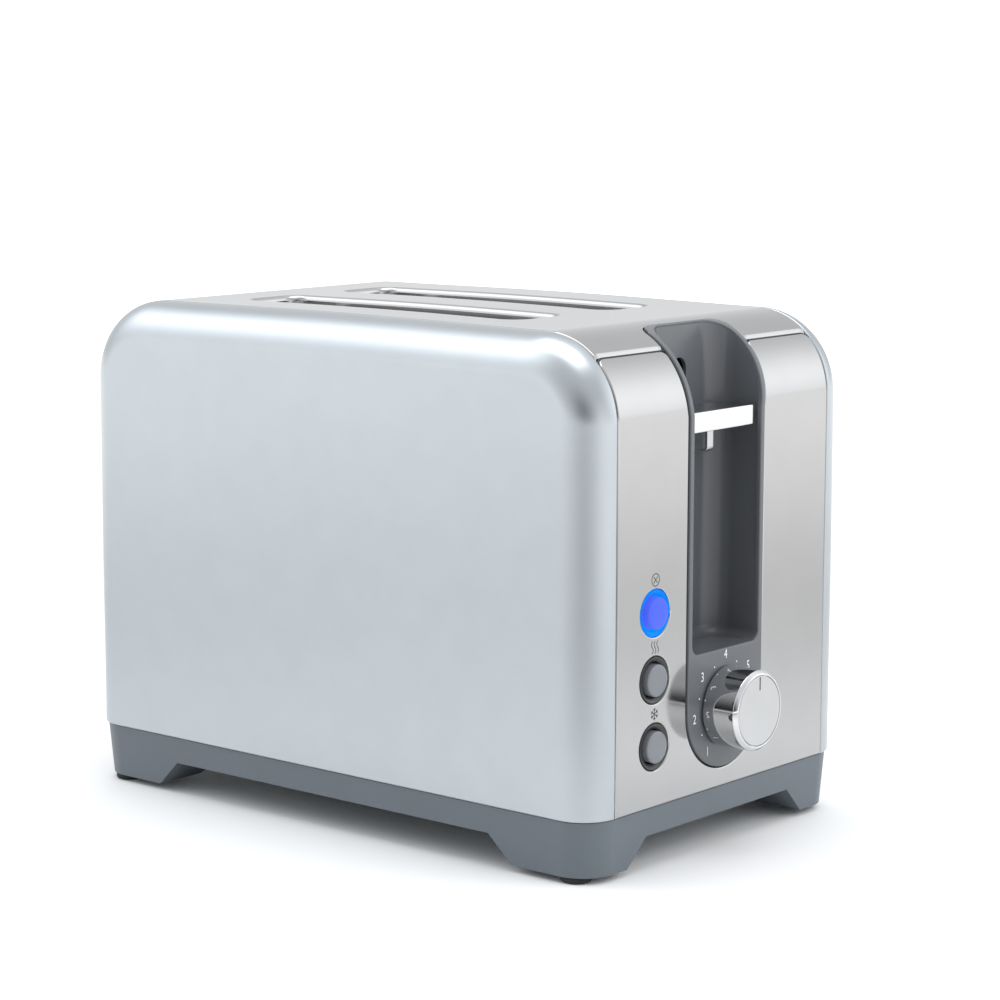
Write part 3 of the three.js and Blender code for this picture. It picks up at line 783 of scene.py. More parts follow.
def seam_gasket(name, front):
    """A dark strip of painted shade in the bottom of the gap between the top panel and an end panel,
    standing in for the gap's shadow.
    """
    edge = SEAM_Y - SEAM_GAP / 2
    closest = BEZEL_HALF + 0.6 if front else 0
    path = [point for point in grown(end_outline(front), 0.3) if point.x > GROOVE - 4.5]
    strips = []
    for side in (SIDES.values() if front else (1,)):
        run = [point for point in path if not front or (point.y * side > closest and point.y * side < edge)]
        run.sort(key=lambda point: point.y)
        line = bpy.data.curves.new(name, "CURVE")
        line.dimensions = "3D"
        line.bevel_depth = SHADE_STRIP_RADIUS
        line.bevel_resolution = 1
        line.use_fill_caps = True
        stroke = line.splines.new("POLY")
        stroke.points.add(len(run) - 1)
        for spot, point in zip(stroke.points, run):
            distance = point.x if front else AROUND - point.x
            (x, z), (nx, nz) = on_body(distance)
            spot.co = (x - nx * SHADE_STRIP_SUNK, point.y, z - nz * SHADE_STRIP_SUNK, 1)
        strip_piece = bpy.data.objects.new(name, line)
        bpy.context.scene.collection.objects.link(strip_piece)
        only(strip_piece)
        bpy.ops.object.convert(target="MESH")
        strips.append(outward(bpy.context.object))
    return smooth(joined(name, strips), 60)


# ---------------------------------------------------------------- bezel
def trough_outline():
    """The trough's mouth in (distance, y): soft lower corners, and a top end as round as its back."""
    lower = outline([(up_front(TROUGH_FLOOR), TROUGH_HALF, 4), (up_front(TROUGH_FLOOR), -TROUGH_HALF, 4),
                     (UPRIGHT, -TROUGH_HALF, 0), (UPRIGHT, TROUGH_HALF, 0)])
    lower = [point for point in lower if point.x < UPRIGHT - 1]
    far_side, near_side = [], []
    for step in range(11):
        turn = math.radians(90) * step / 10
        x = TROUGH_BACK + TROUGH_CORNER * (1 - math.sin(turn))
        y = TROUGH_HALF - TROUGH_CORNER * (1 - math.cos(turn))
        far_side.append(Vector((over_arc(x), y)))
        near_side.append(Vector((over_arc(x), -y)))
    return lower + near_side + far_side[::-1]


def bezel_outline():
    """The outer edge of the bezel, in (distance, y)."""
    foot = up_front(DIAL_Z) - BEZEL_HALF
    top = over_arc(113)
    return outline([(foot, -BEZEL_HALF, BEZEL_HALF), (foot, BEZEL_HALF, BEZEL_HALF),
                    (top, BEZEL_HALF, 7), (top, -BEZEL_HALF, 7)])


def body_block(name, inset, half):
    """A solid with the body's own side profile, drawn in from the steel by an inset."""
    distances = [-10, *[bend for bend in BENDS], AROUND + 10]
    points = []
    for distance in distances:
        (x, z), (nx, nz) = on_body(distance)
        points.append(Vector((x - nx * inset, z - nz * inset)))
    solid = flat_sheet(name, points)
    with editing(solid):
        bpy.ops.mesh.select_all(action="SELECT")
        bpy.ops.mesh.extrude_region_move(TRANSFORM_OT_translate={"value": (0, 0, 2 * half)})
    solid.data.transform(Matrix.Rotation(math.pi / 2, 4, "X") @ Matrix.Translation((0, 0, -half)))
    return outward(solid)


def lever_bezel():
    """The bezel's skin with its rounded rims, and the deep trough that the lever runs in."""
    hole = circle_outline(up_front(DIAL_Z), 0, 4.2, 24)
    skin = flat_sheet("lever_bezel", grown(bezel_outline(), -BEZEL_EDGE),
                      [grown(trough_outline(), BEZEL_EDGE), hole])
    score(skin, X, [bend for bend in BENDS if bend < GROOVE + 30])
    rim = (over_arc(113) + over_arc(TROUGH_BACK)) / 2
    in_trough = lambda point: up_front(TROUGH_FLOOR) - 3 < point.x < rim and abs(point.y) < 23.3
    hem(skin, BEZEL_EDGE, in_trough, steps=5, drop=1.2)
    hem(skin, BEZEL_EDGE, lambda point: not in_trough(point) and point.z > -0.1, steps=5, drop=1.5)
    modify(skin, "SOLIDIFY", thickness=1.0, offset=-1, use_even_offset=False)
    flared(skin)
    bend_round(skin, BEZEL_PROUD)

    wall = 0.03
    trough = block("trough", (TROUGH_BACK - wall, -TROUGH_HALF - wall, TROUGH_FLOOR - wall),
                   (HALF_LENGTH + 30, TROUGH_HALF + wall, HEIGHT + 30))
    round_edges(trough, lambda edge: runs(edge, Z) and centre(edge).x < TROUGH_BACK + 1, TROUGH_CORNER, 12)
    round_edges(trough, lambda edge: centre(edge).z < TROUGH_FLOOR + 1
                and centre(edge).x < HALF_LENGTH + 29.9, 4, 6)
    cut(trough, body_block("inside", 0.4, 60), operation="INTERSECT")
    with editing(trough):
        def on_skin(face):
            point = centre(face)
            if point.z < ARC_Z:
                return point.x > HALF_LENGTH - 0.5
            return (Vector((point.x - ARC_X, point.z - ARC_Z)).length > TOP_RADIUS - 0.6)
        pick(trough, "faces", on_skin)
        bpy.ops.mesh.delete(type="FACE")
        bpy.ops.mesh.select_all(action="SELECT")
        bpy.ops.mesh.flip_normals()
    for vert in trough.data.vertices:
        turn = math.atan2(vert.co.z - ARC_Z, vert.co.x - ARC_X)
        if turn > 0:
            share = min(1, abs(vert.co.y) / 8)
            swell = math.sin(min(1, turn / math.radians(86)) * math.pi) ** 0.8
            vert.co.y += math.copysign(FLARE * swell * share * share * (3 - 2 * share), vert.co.y)
    modify(trough, "SOLIDIFY", thickness=1.5, offset=-1, use_even_offset=False)
    arm_slot = block("arm_slot", (TROUGH_BACK - 8, -4.5, 84), (TROUGH_BACK + 6, 4.5, 193.5))
    round_edges(arm_slot, lambda edge: runs(edge, X), 4.4, 8)
    cut(trough, arm_slot)
    smooth(trough, 34)
    return joined("lever_bezel", [skin, trough])


# ---------------------------------------------------------------- lever, dial and buttons
def lever_handle():
    """The lever: a chrome plate with a tall turned-down face."""
    low, high = span("lever_handle")
    plate = block("lever_handle", (low.x, low.y, high.z - 2), high)
    round_edges(plate, lambda edge: runs(edge, Z) and centre(edge).x < low.x + 1, 7, 10)
    with editing(plate):
        bpy.ops.mesh.select_all(action="SELECT")
        bpy.ops.mesh.bisect(plane_co=X * (high.x - 2), plane_no=X)
        pick(plate, "faces", lambda face: face.normal.z < -0.9 and centre(face).x > high.x - 2)
        bpy.ops.mesh.extrude_region_move(TRANSFORM_OT_translate={"value": Z * (low.z - high.z + 2)})
    return smooth(soften(plate, 0.45, 3))


def dial_knob():
    """The turned chrome knob."""
    low, high = span("dial_knob")
    radius = (high.y - low.y) / 2
    front = high.x
    knob = turned("dial_knob", X, [
        (low.x, radius - 2.2), (low.x, radius - 0.4), (low.x + 0.5, radius), (front - 1.7, radius),
        (front - 1.25, radius - 0.12), (front - 0.25, radius - 1.1), (front, radius - 1.5),
        (front - 0.02, 14.25), (front - 0.15, 14.1), (front - 0.95, 14.05), (front - 0.95, 3.0)],
        (0, 0, DIAL_Z), 96)
    return smooth(knob, 38)


def dial_face():
    """The satin disc let into the knob."""
    low, high = span("dial_face")
    radius = (high.y - low.y) / 2
    face = turned("dial_face", X, [
        (low.x, radius), (high.x - 0.3, radius), (high.x - 0.12, radius - 0.12), (high.x, radius - 0.35),
        (high.x, 6)], (0, 0, DIAL_Z), 96)
    return smooth(face, 38)


def dial_pointer():
    """The dark line on the dial's face, from its top edge towards the middle."""
    front = span("dial_face")[1].x
    line = block("dial_pointer", (front - 0.15, -0.45, DIAL_Z + 8.2), (front + 0.02, 0.45, DIAL_Z + 13.6))
    return smooth(soften(line, 0.08, 1))


def button_ring(name):
    """The dished ring round a button."""
    z = BUTTONS[name]
    front = HALF_LENGTH
    ring = turned(f"{name}_button_ring", X, [
        (front - 9.5, 6.8), (front - 9.5, 8.6), (front - 3.5, 8.6), (front - 3.5, 10.5), (front - 1.5, 10.5),
        (front - 1.5, 9.0), (front - 0.25, 9.0), (front - 0.05, 8.8), (front - 0.1, 8.5),
        (front - 0.6, 7.7), (front - 1.1, 7.1), (front - 1.6, 6.85), (front - 2.2, 6.8),
        (front - 9.5, 6.8)], (0, BUTTON_Y, z), 64, capped=False)
    return smooth(outward(ring), 40)


def button_cap(name):
    """The cap of a button, with a rounded rim."""
    low, high = span(f"{name}_button_cap")
    front = high.x
    cap = turned(f"{name}_button_cap", X, [
        (low.x, 2), (front - 13.3, 2), (front - 13.3, 7.5), (front - 11.4, 7.5), (front - 11.4, 6.3),
        (front - 0.75, 6.3), (front - 0.45, 6.2), (front - 0.22, 5.95), (front - 0.1, 5.5),
        (front - 0.02, 4.2), (front, 2)], (0, BUTTON_Y, BUTTONS[name]), 64)
    return smooth(cap, 40)


def printed(name, splines, thickness, front_x, matrix):
    """Lines drawn as thin raised strokes on a surface that faces +X; splines are in (y, z)."""
    strokes = []
    for points, closed, width in splines:
        line = bpy.data.curves.new(name, "CURVE")
        line.dimensions = "3D"
        line.bevel_depth = width / 2
        line.bevel_resolution = 1
        line.use_fill_caps = True
        stroke = line.splines.new("POLY")
        stroke.points.add(len(points) - 1)
        stroke.use_cyclic_u = closed
        for spot, (y, z) in zip(stroke.points, points):
            spot.co = (0, y, z, 1)
        made = bpy.data.objects.new(name, line)
        bpy.context.scene.collection.objects.link(made)
        only(made)
        bpy.ops.object.convert(target="MESH")
        strokes.append(bpy.context.object)
    drawing = joined(name, strokes)
    drawing.data.transform(Matrix.Translation(X * front_x) @ matrix @ Matrix.Diagonal((thickness, 1, 1, 1)))
    return smooth(outward(drawing), 50)


def arc_points(radius, start, end, steps=24, y=0.0, z=0.0):
    """Points round an arc, with angles in degrees clockwise from straight up."""
    return [(y + radius * math.sin(math.radians(start + (end - start) * i / steps)),
             z + radius * math.cos(math.radians(start + (end - start) * i / steps)))
            for i in range(steps + 1)]


def symbol_strokes(name, size, width):
    """Generic signs for stopping, warming and thawing."""
    if name == "cancel":
        ring = arc_points(size, 0, 345)
        reach = size * 0.5
        return [(ring, True, width), ([(-reach, -reach), (reach, reach)], False, width),
                ([(-reach, reach), (reach, -reach)], False, width)]
    if name == "reheat":
        waves = []
        for y in (-0.7 * size, 0, 0.7 * size):
            wave = [(y + 0.24 * size * math.sin(math.tau * i / 16), size * (i / 8 - 1)) for i in range(17)]
            waves.append((wave, False, width))
        return waves
    arms = []
    for turn in (0, 60, 120):
        (y, z), = arc_points(size, turn, turn, 1)[:1]
        arms.append(([(-y, -z), (y, z)], False, width))
        for end in (0, 180):
            (hub_y, hub_z), = arc_points(size * 0.55, turn + end, turn + end, 1)[:1]
            for lean in (-45, 45):
                tip = arc_points(size * 0.38, turn + end + lean, turn + end + lean, 1)[0]
                arms.append(([(hub_y, hub_z), (hub_y + tip[0], hub_z + tip[1])], False, width))
    return arms


def dial_scale():
    """Numbers 1 to 7 round the dial, with dots between them, printed on the bezel."""
    front = HALF_LENGTH + BEZEL_PROUD
    marks = []
    for level in range(1, 8):
        turn = math.radians(-146 + (level - 1) * 292 / 6)
        bpy.ops.object.select_all(action="DESELECT")
        bpy.ops.object.text_add()
        text = bpy.context.object
        text.data.body = str(level)
        text.data.size = 5.4
        text.data.extrude = 0.02
        text.data.align_x = "CENTER"
        text.data.align_y = "CENTER"
        text.data.offset = -0.02
        only(text)
        bpy.ops.object.convert(target="MESH")
        text = bpy.context.object
        place = Vector((front, 20.4 * math.sin(turn), DIAL_Z + 20.4 * math.cos(turn)))
        text.data.transform(Matrix.Translation(place) @ Matrix.Rotation(math.pi / 2, 4, "Z")
                            @ Matrix.Rotation(math.pi / 2, 4, "X") @ Matrix.Diagonal((0.8, 1, 1, 1)))
        marks.append(text)
    for gap in range(6):
        turn = math.radians(-146 + (gap + 0.5) * 292 / 6)
        dot = turned("dot", X, [(front - 0.02, 0.35), (front + 0.02, 0.35), (front + 0.03, 0.25)],
                     (0, 18.0 * math.sin(turn), DIAL_Z + 18.0 * math.cos(turn)), 12)
        marks.append(dot)
    return outward(joined("dial_scale", marks))


# ---------------------------------------------------------------- base, tray and feet
BASE_SET_IN = 1.1
BASE_INSIDE = 4.4
BASE_CORNER = 14.6
BASE_TAPER = 1.5
BAND_BOTTOM = 13.5
BASE_FLOOR = 15.3
# Between the feet: the half width of the gap at the band and at the pads, along X and along Y.
FOOT_GAPS = ((Y, X, 86.5, 98.0), (X, Y, 47.4, 58.8))


def base():
    """The base moulding: a tapered tub on four corner feet whose inner sides slant."""
    low, high = span("base")
    top = high.z
    tub = block("base", (-HALF_LENGTH + BASE_SET_IN, -HALF_WIDTH + BASE_SET_IN, low.z),
                (HALF_LENGTH - BASE_SET_IN, HALF_WIDTH - BASE_SET_IN, top))
    round_edges(tub, lambda edge: runs(edge, Z), BASE_CORNER, 14)
    with editing(tub):
        pick(tub, "faces", lambda face: face.normal.z < -0.9)
        bpy.ops.transform.resize(value=(1 - BASE_TAPER / HALF_LENGTH, 1 - BASE_TAPER / HALF_WIDTH, 1),
                                 center_override=(0, 0, low.z))
    band = BAND_BOTTOM
    floor = BASE_FLOOR
    hollow = block("hollow", (-HALF_LENGTH + BASE_INSIDE, -HALF_WIDTH + BASE_INSIDE, floor),
                   (HALF_LENGTH - BASE_INSIDE, HALF_WIDTH - BASE_INSIDE, top + 5))
    round_edges(hollow, lambda edge: runs(edge, Z), 11.5, 8)
    tools = [hollow]
    for axis, across, narrow, wide in FOOT_GAPS:
        gap = block("gap", axis * -160 - across * narrow - Z * 5, axis * 160 + across * narrow + Z * band)
        slope = (wide - narrow) / (band - low.z)
        with editing(gap):
            pick(gap, "faces", lambda face: face.normal.z < -0.9)
            spread = (narrow + slope * (band + 5)) / narrow
            widened = Vector((1, 1, 1)) + across * (spread - 1)
            bpy.ops.transform.resize(value=widened, center_override=(0, 0, -5))
        tools.append(gap)
    tray = span("crumb_tray_front")
    tools.append(block("mouth", (-HALF_LENGTH - 5, tray[0].y - 0.4, floor - 0.01),
                       (-HALF_LENGTH + 6, tray[1].y + 0.4, tray[1].z + 0.4)))
    notch = block("notch", (-HALF_LENGTH - 5, -16, 5), (-118, 16, floor + 1))
    round_edges(notch, lambda edge: runs(edge, Z) and centre(edge).x > -120, 8, 6)
    tools.append(notch)
    for step in range(6):
        x = -70 + step * 24
        vent = block("vent", (x, -40, 10), (x + 6, 40, 20))
        round_edges(vent, lambda edge: runs(edge, Z), 2.9, 5)
        tools.append(vent)
    for end in ENDS.values():
        for side in SIDES.values():
            tools.append(rod("sink", Z, 3.6, 10, band + 1.6, (78 * end, 66 * side, 0), 24))
    cut(tub, *tools)
    return smooth(soften(tub, 0.55, 3, 40), 36)


def crumb_tray():
    """A shallow pan with a thin wall round its top and four stiffening ribs."""
    low, high = span("crumb_tray")
    pan = block("crumb_tray", low, high)
    round_edges(pan, lambda edge: runs(edge, Z), 5, 6)
    with editing(pan):
        pick(pan, "faces", lambda face: face.normal.z > 0.9)
        bpy.ops.mesh.inset(thickness=1.0)
        bpy.ops.mesh.extrude_region_move(TRANSFORM_OT_translate={"value": Z * (low.z + 0.8 - high.z)})
    ribs = []
    for x in (-95, -55, -15, 25):
        rib = block("rib", (x - 2, -38, low.z + 0.5), (x + 2, 38, low.z + 1.5))
        ribs.append(soften(rib, 0.6, 2))
    cut(pan, *ribs, operation="UNION")
    return smooth(soften(pan, 0.3, 2))


def crumb_tray_front():
    """The tray's plastic front, with a scooped finger pull."""
    low, high = span("crumb_tray_front")
    front = block("crumb_tray_front", low, high)
    scoop = rod("scoop", X, 26, low.x - 1, low.x + 1.1, (0, 0, low.z - 21), 64)
    cut(front, scoop)
    return smooth(soften(front, 0.35, 3))


def foot_pad(name):
    """A round rubber pad with a dished underside."""
    low, high = span(name)
    x, y = (low.x + high.x) / 2, (low.y + high.y) / 2
    pad = turned(name, Z, [(high.z, 2), (high.z, 6), (0.7, 6), (0.2, 5.75), (0, 5.3), (0, 3.6), (0.25, 3.3),
                           (0.5, 3.0), (0.5, 1)], (x, y, 0), 40)
    return smooth(outward(pad), 38)


def base_screw(name):
    """A cross-head screw that holds the base."""
    low, high = span(name)
    x, y = (low.x + high.x) / 2, (low.y + high.y) / 2
    head = low.z
    screw = turned(name, Z, [
        (head + 0.35, 1), (head, 2.2), (head, 2.7), (head + 0.35, 3.15), (head + 1.2, 3.2),
        (head + 1.2, 1.5), (high.z - 1.2, 1.5), (high.z, 0.6)], (x, y, 0), 32)
    outward(screw)
    cut(screw, block("slot", (x - 2.0, y - 0.35, head - 1), (x + 2.0, y + 0.35, head + 0.9)),
        block("slot", (x - 0.35, y - 2.0, head - 1), (x + 0.35, y + 2.0, head + 0.9)))
    return smooth(screw)


def cord_gland():
    """The bush that the mains lead leaves through."""
    low, high = span("cord_gland")
    y, z = (low.y + high.y) / 2, (low.z + high.z) / 2
    face = -HALF_LENGTH
    gland = turned("cord_gland", X, [
        (low.x, 3.6), (low.x, 7.6), (low.x + 0.25, 8.3), (low.x + 0.8, 8.8), (face - 0.3, 8.9),
        (face - 0.3, 6.2), (high.x, 6.2), (high.x, 3.6), (low.x, 3.6)], (0, y, z), 48, capped=False)
    return smooth(outward(gland), 38)


# ---------------------------------------------------------------- inside
def bread_guard(name):
    """A wire grid: upright wires with four cross wires, welded where they touch."""
    low, high = span(name)
    y = (low.y + high.y) / 2
    wire = (high.y - low.y) / 2
    uprights = 12
    wires = []
    for i in range(uprights):
        x = low.x + wire + (high.x - low.x - 2 * wire) * i / (uprights - 1)
        wires.append(rod("wire", Z, wire * 0.8, low.z, high.z, (x, y, 0), 10))
    for z in (low.z + wire, high.z - wire, low.z + (high.z - low.z) * 0.36, low.z + (high.z - low.z) * 0.68):
        wires.append(rod("wire", X, wire * 0.8, low.x, high.x, (0, y, z), 10))
    guard = joined(name, wires)
    return smooth(soften(guard, 0.25, 2), 40)


def heater_sheet(name):
    """A mica sheet with notched ends that key the ribbon's turns."""
    low, high = span(name)
    sheet = block(name, low, high)
    notches = []
    for x in (low.x, high.x):
        for z in fine_steps(low.z + 12, high.z - 12, 14):
            notches.append(block("notch", (x - 1.6, low.y - 1, z - 2), (x + 1.6, high.y + 1, z + 2)))
    cut(sheet, joined("notches", notches))
    return smooth(sheet)


def heating_ribbon(name):
    """The flat ribbon wound round a mica sheet, turn by turn from one notch to the next."""
    low, high = span(name)
    turns = []
    for z in fine_steps(low.z + 12, high.z - 12, 7):
        turn = block("turn", (low.x + 1.9, low.y - 0.22, z - 1.1), (high.x - 1.9, high.y + 0.22, z + 1.1))
        turns.append(turn)
    return soften(joined(f"{name}_ribbon", turns), 0.15, 1)


def bread_lifter(side):
    """The rail that the slice stands on, with pressed teeth, and its web out to the carriage."""
    name = ("near" if side < 0 else "far") + "_bread_lifter"
    low, high = span(name)
    y = (low.y + high.y) / 2
    rail = block(name, (low.x, low.y, high.z - 1.5), (63, high.y, high.z))
    gaps = []
    for x in fine_steps(low.x + 8, 55, 9):
        for flank in (low.y, high.y):
            gap = block("gap", (x - 2.4, flank - 3.2, high.z - 3), (x + 2.4, flank + 3.2, high.z + 1))
            gaps.append(gap)
    cut(rail, joined("gaps", gaps))
    web = block("web", (low.x, y - 0.7, low.z), (high.x, y + 0.7, high.z - 1))
    round_edges(web, lambda edge: runs(edge, Y) and centre(edge).x < low.x + 1, 4, 4)
    cut(rail, web, operation="UNION")
    return smooth(soften(rail, 0.2, 2))


def strip(name, path, thickness, y0, y1):
    """Bent flat strip: a path of (x, z) points drawn out along Y."""
    mesh = bpy.data.meshes.new(name)
    mesh.from_pydata([(x, y0, z) for x, z in path], [(i, i + 1) for i in range(len(path) - 1)], [])
    made = bpy.data.objects.new(name, mesh)
    bpy.context.scene.collection.objects.link(made)
    with editing(made):
        bpy.ops.mesh.select_mode(type="EDGE")
        bpy.ops.mesh.select_all(action="SELECT")
        bpy.ops.mesh.extrude_region_move(TRANSFORM_OT_translate={"value": Y * (y1 - y0)})
    modify(made, "SOLIDIFY", thickness=thickness, offset=0)
    return outward(made)


def bend_path(*corners):
    """A polyline whose inner corners are rounded; each corner is (x, z, radius)."""
    points = []
    for i, (x, z, radius) in enumerate(corners):
        if i in (0, len(corners) - 1) or radius == 0:
            points.append((x, z))
            continue
        here = Vector((x, z))
        before = (Vector(corners[i - 1][:2]) - here).normalized()
        after = (Vector(corners[i + 1][:2]) - here).normalized()
        opening = before.angle(after)
        hub = here + (before + after).normalized() * radius / math.sin(opening / 2)
        start = here + before * radius / math.tan(opening / 2) - hub
        end = here + after * radius / math.tan(opening / 2) - hub
        sweep = start.angle_signed(end)
        for step in range(7):
            turn = Matrix.Rotation(-sweep * step / 6, 2)
            points.append(tuple(hub + turn @ start))
    return points


def carriage():
    """The carriage: a plate on two sleeves, and the arm whose end is bent down under the lever."""
    low, high = span("carriage")
    plate_x = low.x
    plate = block("carriage", (plate_x, -26, low.z), (plate_x + 2, 26, high.z))
    lower = block("lower", (plate_x, -34, low.z), (plate_x + 2, 34, low.z + 14))
    cut(plate, lower, operation="UNION")
    round_edges(plate, lambda edge: runs(edge, X), 2.5, 4)
    soften(plate, 0.35, 2)
    pieces = [plate]
    for side in SIDES.values():
        rod_low, rod_high = span(("near" if side < 0 else "far") + "_guide_rod")
        x, y = (rod_low.x + rod_high.x) / 2, (rod_low.y + rod_high.y) / 2
        sleeve = turned("sleeve", Z, [
            (122, 2.9), (122, 4.7), (122.3, 5), (177.7, 5), (178, 4.7), (178, 2.9), (122, 2.9)],
            (x, y, 0), 32, capped=False)
        bridge = block("bridge", (plate_x + 1, y - 1.6, 124), (x - 4, y + 1.6, 176))
        pieces += [outward(sleeve), soften(bridge, 0.3, 2)]
    arm_z = 172
    reach = high.x - 0.8
    arm = strip("arm", bend_path((plate_x + 1.2, arm_z, 0), (reach, arm_z, 1.8), (reach, 158.6, 1.7),
                                 (reach - 3.6, 157.2, 0)), 1.3, -2.6, 2.6)
    with editing(arm):
        pick(arm, "verts", lambda vert: vert.co.z < arm_z - 1.5)
        bpy.ops.transform.resize(value=(1, 0.78, 1), center_override=(reach, 0, 160))
    pieces.append(soften(arm, 0.25, 2))
    return smooth(joined("carriage", pieces))


def return_spring():
    """The tension spring, wound as a helix."""
    low, high = span("return_spring")
    x, y = (low.x + high.x) / 2, (low.y + high.y) / 2
    turns, steps, wire = 22, 14, 0.45
    radius = (high.x - low.x) / 2 - wire
    line = bpy.data.curves.new("return_spring", "CURVE")
    line.dimensions = "3D"
    line.bevel_depth = wire
    line.bevel_resolution = 1
    line.use_fill_caps = True
    coil = line.splines.new("POLY")
    count = turns * steps
    coil.points.add(count)
    for i, spot in enumerate(coil.points):
        turn = math.tau * i / steps
        z = low.z + 1 + (high.z - low.z - 2) * i / count
        spot.co = (x + radius * math.cos(turn), y + radius * math.sin(turn), z, 1)
    spring = bpy.data.objects.new("return_spring", line)
    bpy.context.scene.collection.objects.link(spring)
    only(spring)
    bpy.ops.object.convert(target="MESH")
    return smooth(outward(bpy.context.object), 60)


# ---------------------------------------------------------------- putting it together
MIRROR_Y = Matrix.Diagonal((1, -1, 1, 1))

near_shell = side_shell()
far_shell = copied(near_shell, "far_shell", MIRROR_Y)
near_shell.name = "near_shell"
settle(near_shell, "housing", SATIN_STEEL, ["near_side_shell"])
settle(smooth(far_shell, 40), "housing", SATIN_STEEL, ["far_side_shell"])
settle(end_panel("front_panel", True), "housing", MIRROR_STEEL, ["front_end_panel"])
settle(end_panel("rear_panel", False), "housing", MIRROR_STEEL, ["rear_end_panel"])
settle(top_panel(), "housing", MIRROR_STEEL, ["top_panel"])
# Dark strips of painted shade along the steps where the end panels meet the top panel.
settle(seam_gasket("front_seam_gasket", True), "housing", BLACK_PLASTIC)
settle(seam_gasket("rear_seam_gasket", False), "housing", BLACK_PLASTIC)
settle(lever_bezel(), "housing", BEZEL_GREY, ["lever_bezel"])

settle(lever_handle(), "carriage", CHROME, ["lever_handle"])
settle(carriage(), "carriage", ZINC, ["carriage"])
for side_name, side in SIDES.items():
    settle(bread_lifter(side), "carriage", ZINC, [f"{side_name}_bread_lifter"])

settle(dial_knob(), "dial", CHROME, ["dial_knob"])
settle(dial_face(), "dial", SATIN_SILVER, ["dial_face"])
settle(dial_pointer(), "dial", DARK_PRINT)
settle(dial_scale(), "housing", WHITE_PRINT)

for button in BUTTONS:
    lit = button == "cancel"
    ring_finish = RING_GLOW if lit else RING_GREY
    cap_finish = CAP_GLOW if lit else CAP_GREY
    settle(button_ring(button), "housing", ring_finish,
           [f"{button}_button_ring"])
    settle(button_cap(button), f"{button}_button", cap_finish,
           [f"{button}_button_cap"])
    sign = printed(f"{button}_sign", symbol_strokes(button, 2.4, 0.42), 0.15, HALF_LENGTH + 0.01,
                   Matrix.Translation((0, BUTTON_Y - 0.2, BUTTONS[button] + 12.9)))
    settle(sign, "housing", DARK_PRINT)

settle(base(), "housing", BASE_GREY, ["base"])
settle(crumb_tray(), "crumb_tray", ZINC, ["crumb_tray"])
settle(crumb_tray_front(), "crumb_tray", BASE_GREY, ["crumb_tray_front"])
for side_name in SIDES:
    for end_name in ENDS:
        pad = f"{side_name}_{end_name}_foot_pad"
        settle(foot_pad(pad), "housing", RUBBER, [pad])
        screw = f"{side_name}_{end_name}_base_screw"
        settle(base_screw(screw), "housing", ZINC, [screw])
settle(cord_gland(), "housing", BLACK_PLASTIC, ["cord_gland"])
spring = settle(return_spring(), None, ZINC, ["return_spring"])
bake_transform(spring)

for side_name in SIDES:
    for layer in ("inner", "outer"):
        guard = f"{side_name}_{layer}_guard"
        settle(bread_guard(guard), guard, GUARD_WIRE, [guard])
        heater = f"{side_name}_{layer}_heater"
        settle(heater_sheet(heater), "housing", MICA, [heater])
        settle(heating_ribbon(heater), "housing", RIBBON)

KEPT = {
    "front_plate": ZINC, "rear_plate": ZINC, "guide_bracket": ZINC, "latch_plate": ZINC,
    "latch_magnet": COIL, "control_board": BOARD_GREEN, "browning_control": BLACK_PLASTIC,
    "dial_shaft": ZINC, "terminal_block": BLACK_PLASTIC, "near_reflector": REFLECTOR,
    "far_reflector": REFLECTOR, "near_guide_rod": CHROME, "far_guide_rod": CHROME,
    "cancel_switch": BLACK_PLASTIC, "reheat_switch": BLACK_PLASTIC, "defrost_switch": BLACK_PLASTIC,
}
for node, material in KEPT.items():
    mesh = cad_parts[node].data
    mesh.materials.clear()
    mesh.materials.append(material)


# ---------------------------------------------------------------- floor, light and camera
def glow_field(tree, level, base, spots):
    """A level that smooth spots add to: each is (centre, reach, change), in the units of its base."""
    for middle, reach, change in spots:
        gap = tree.nodes.new("ShaderNodeVectorMath")
        gap.operation = "DISTANCE"
        gap.inputs[1].default_value = middle
        tree.links.new(base, gap.inputs[0])
        step = tree.nodes.new("ShaderNodeMapRange")
        step.interpolation_type = "SMOOTHSTEP"
        for socket, number in zip(("From Min", "From Max", "To Min", "To Max"), (0, reach, change, 0)):
            step.inputs[socket].default_value = number
        tree.links.new(gap.outputs["Value"], step.inputs["Value"])
        add = tree.nodes.new("ShaderNodeMath")
        add.operation = "ADD"
        tree.links.new(step.outputs["Result"], add.inputs[0])
        if isinstance(level, (int, float)):
            add.inputs[1].default_value = level
        else:
            tree.links.new(level, add.inputs[1])
        level = add.outputs[0]
    return level


# The floor's glow away from the object, painted darker as shade round the object and off its front near
# corner and painted lighter in a patch beyond its front end, and the room's light by direction: centre,
# reach, change.
FLOOR_PAINTED_SHADE_AND_LIGHT = (((0, 0, 0), 1.5, -0.85), ((0.55, -0.70, 0), 0.9, -0.6), ((1.05, 0.2, 0), 0.8, 0.4))
ROOM_SPOTS = (((0.60, -0.80, 0.0), 0.75, -0.9), ((0.05, 0.3, 0.95), 0.8, 0.5),
              ((1.0, 0.0, 0.0), 0.5, 0.5), ((0.62, 0.74, 0.25), 0.75, 1.1),
              ((-0.64, -0.76, 0.05), 0.7, 0.6), ((-0.64, -0.33, 0.69), 0.7, 2.0))


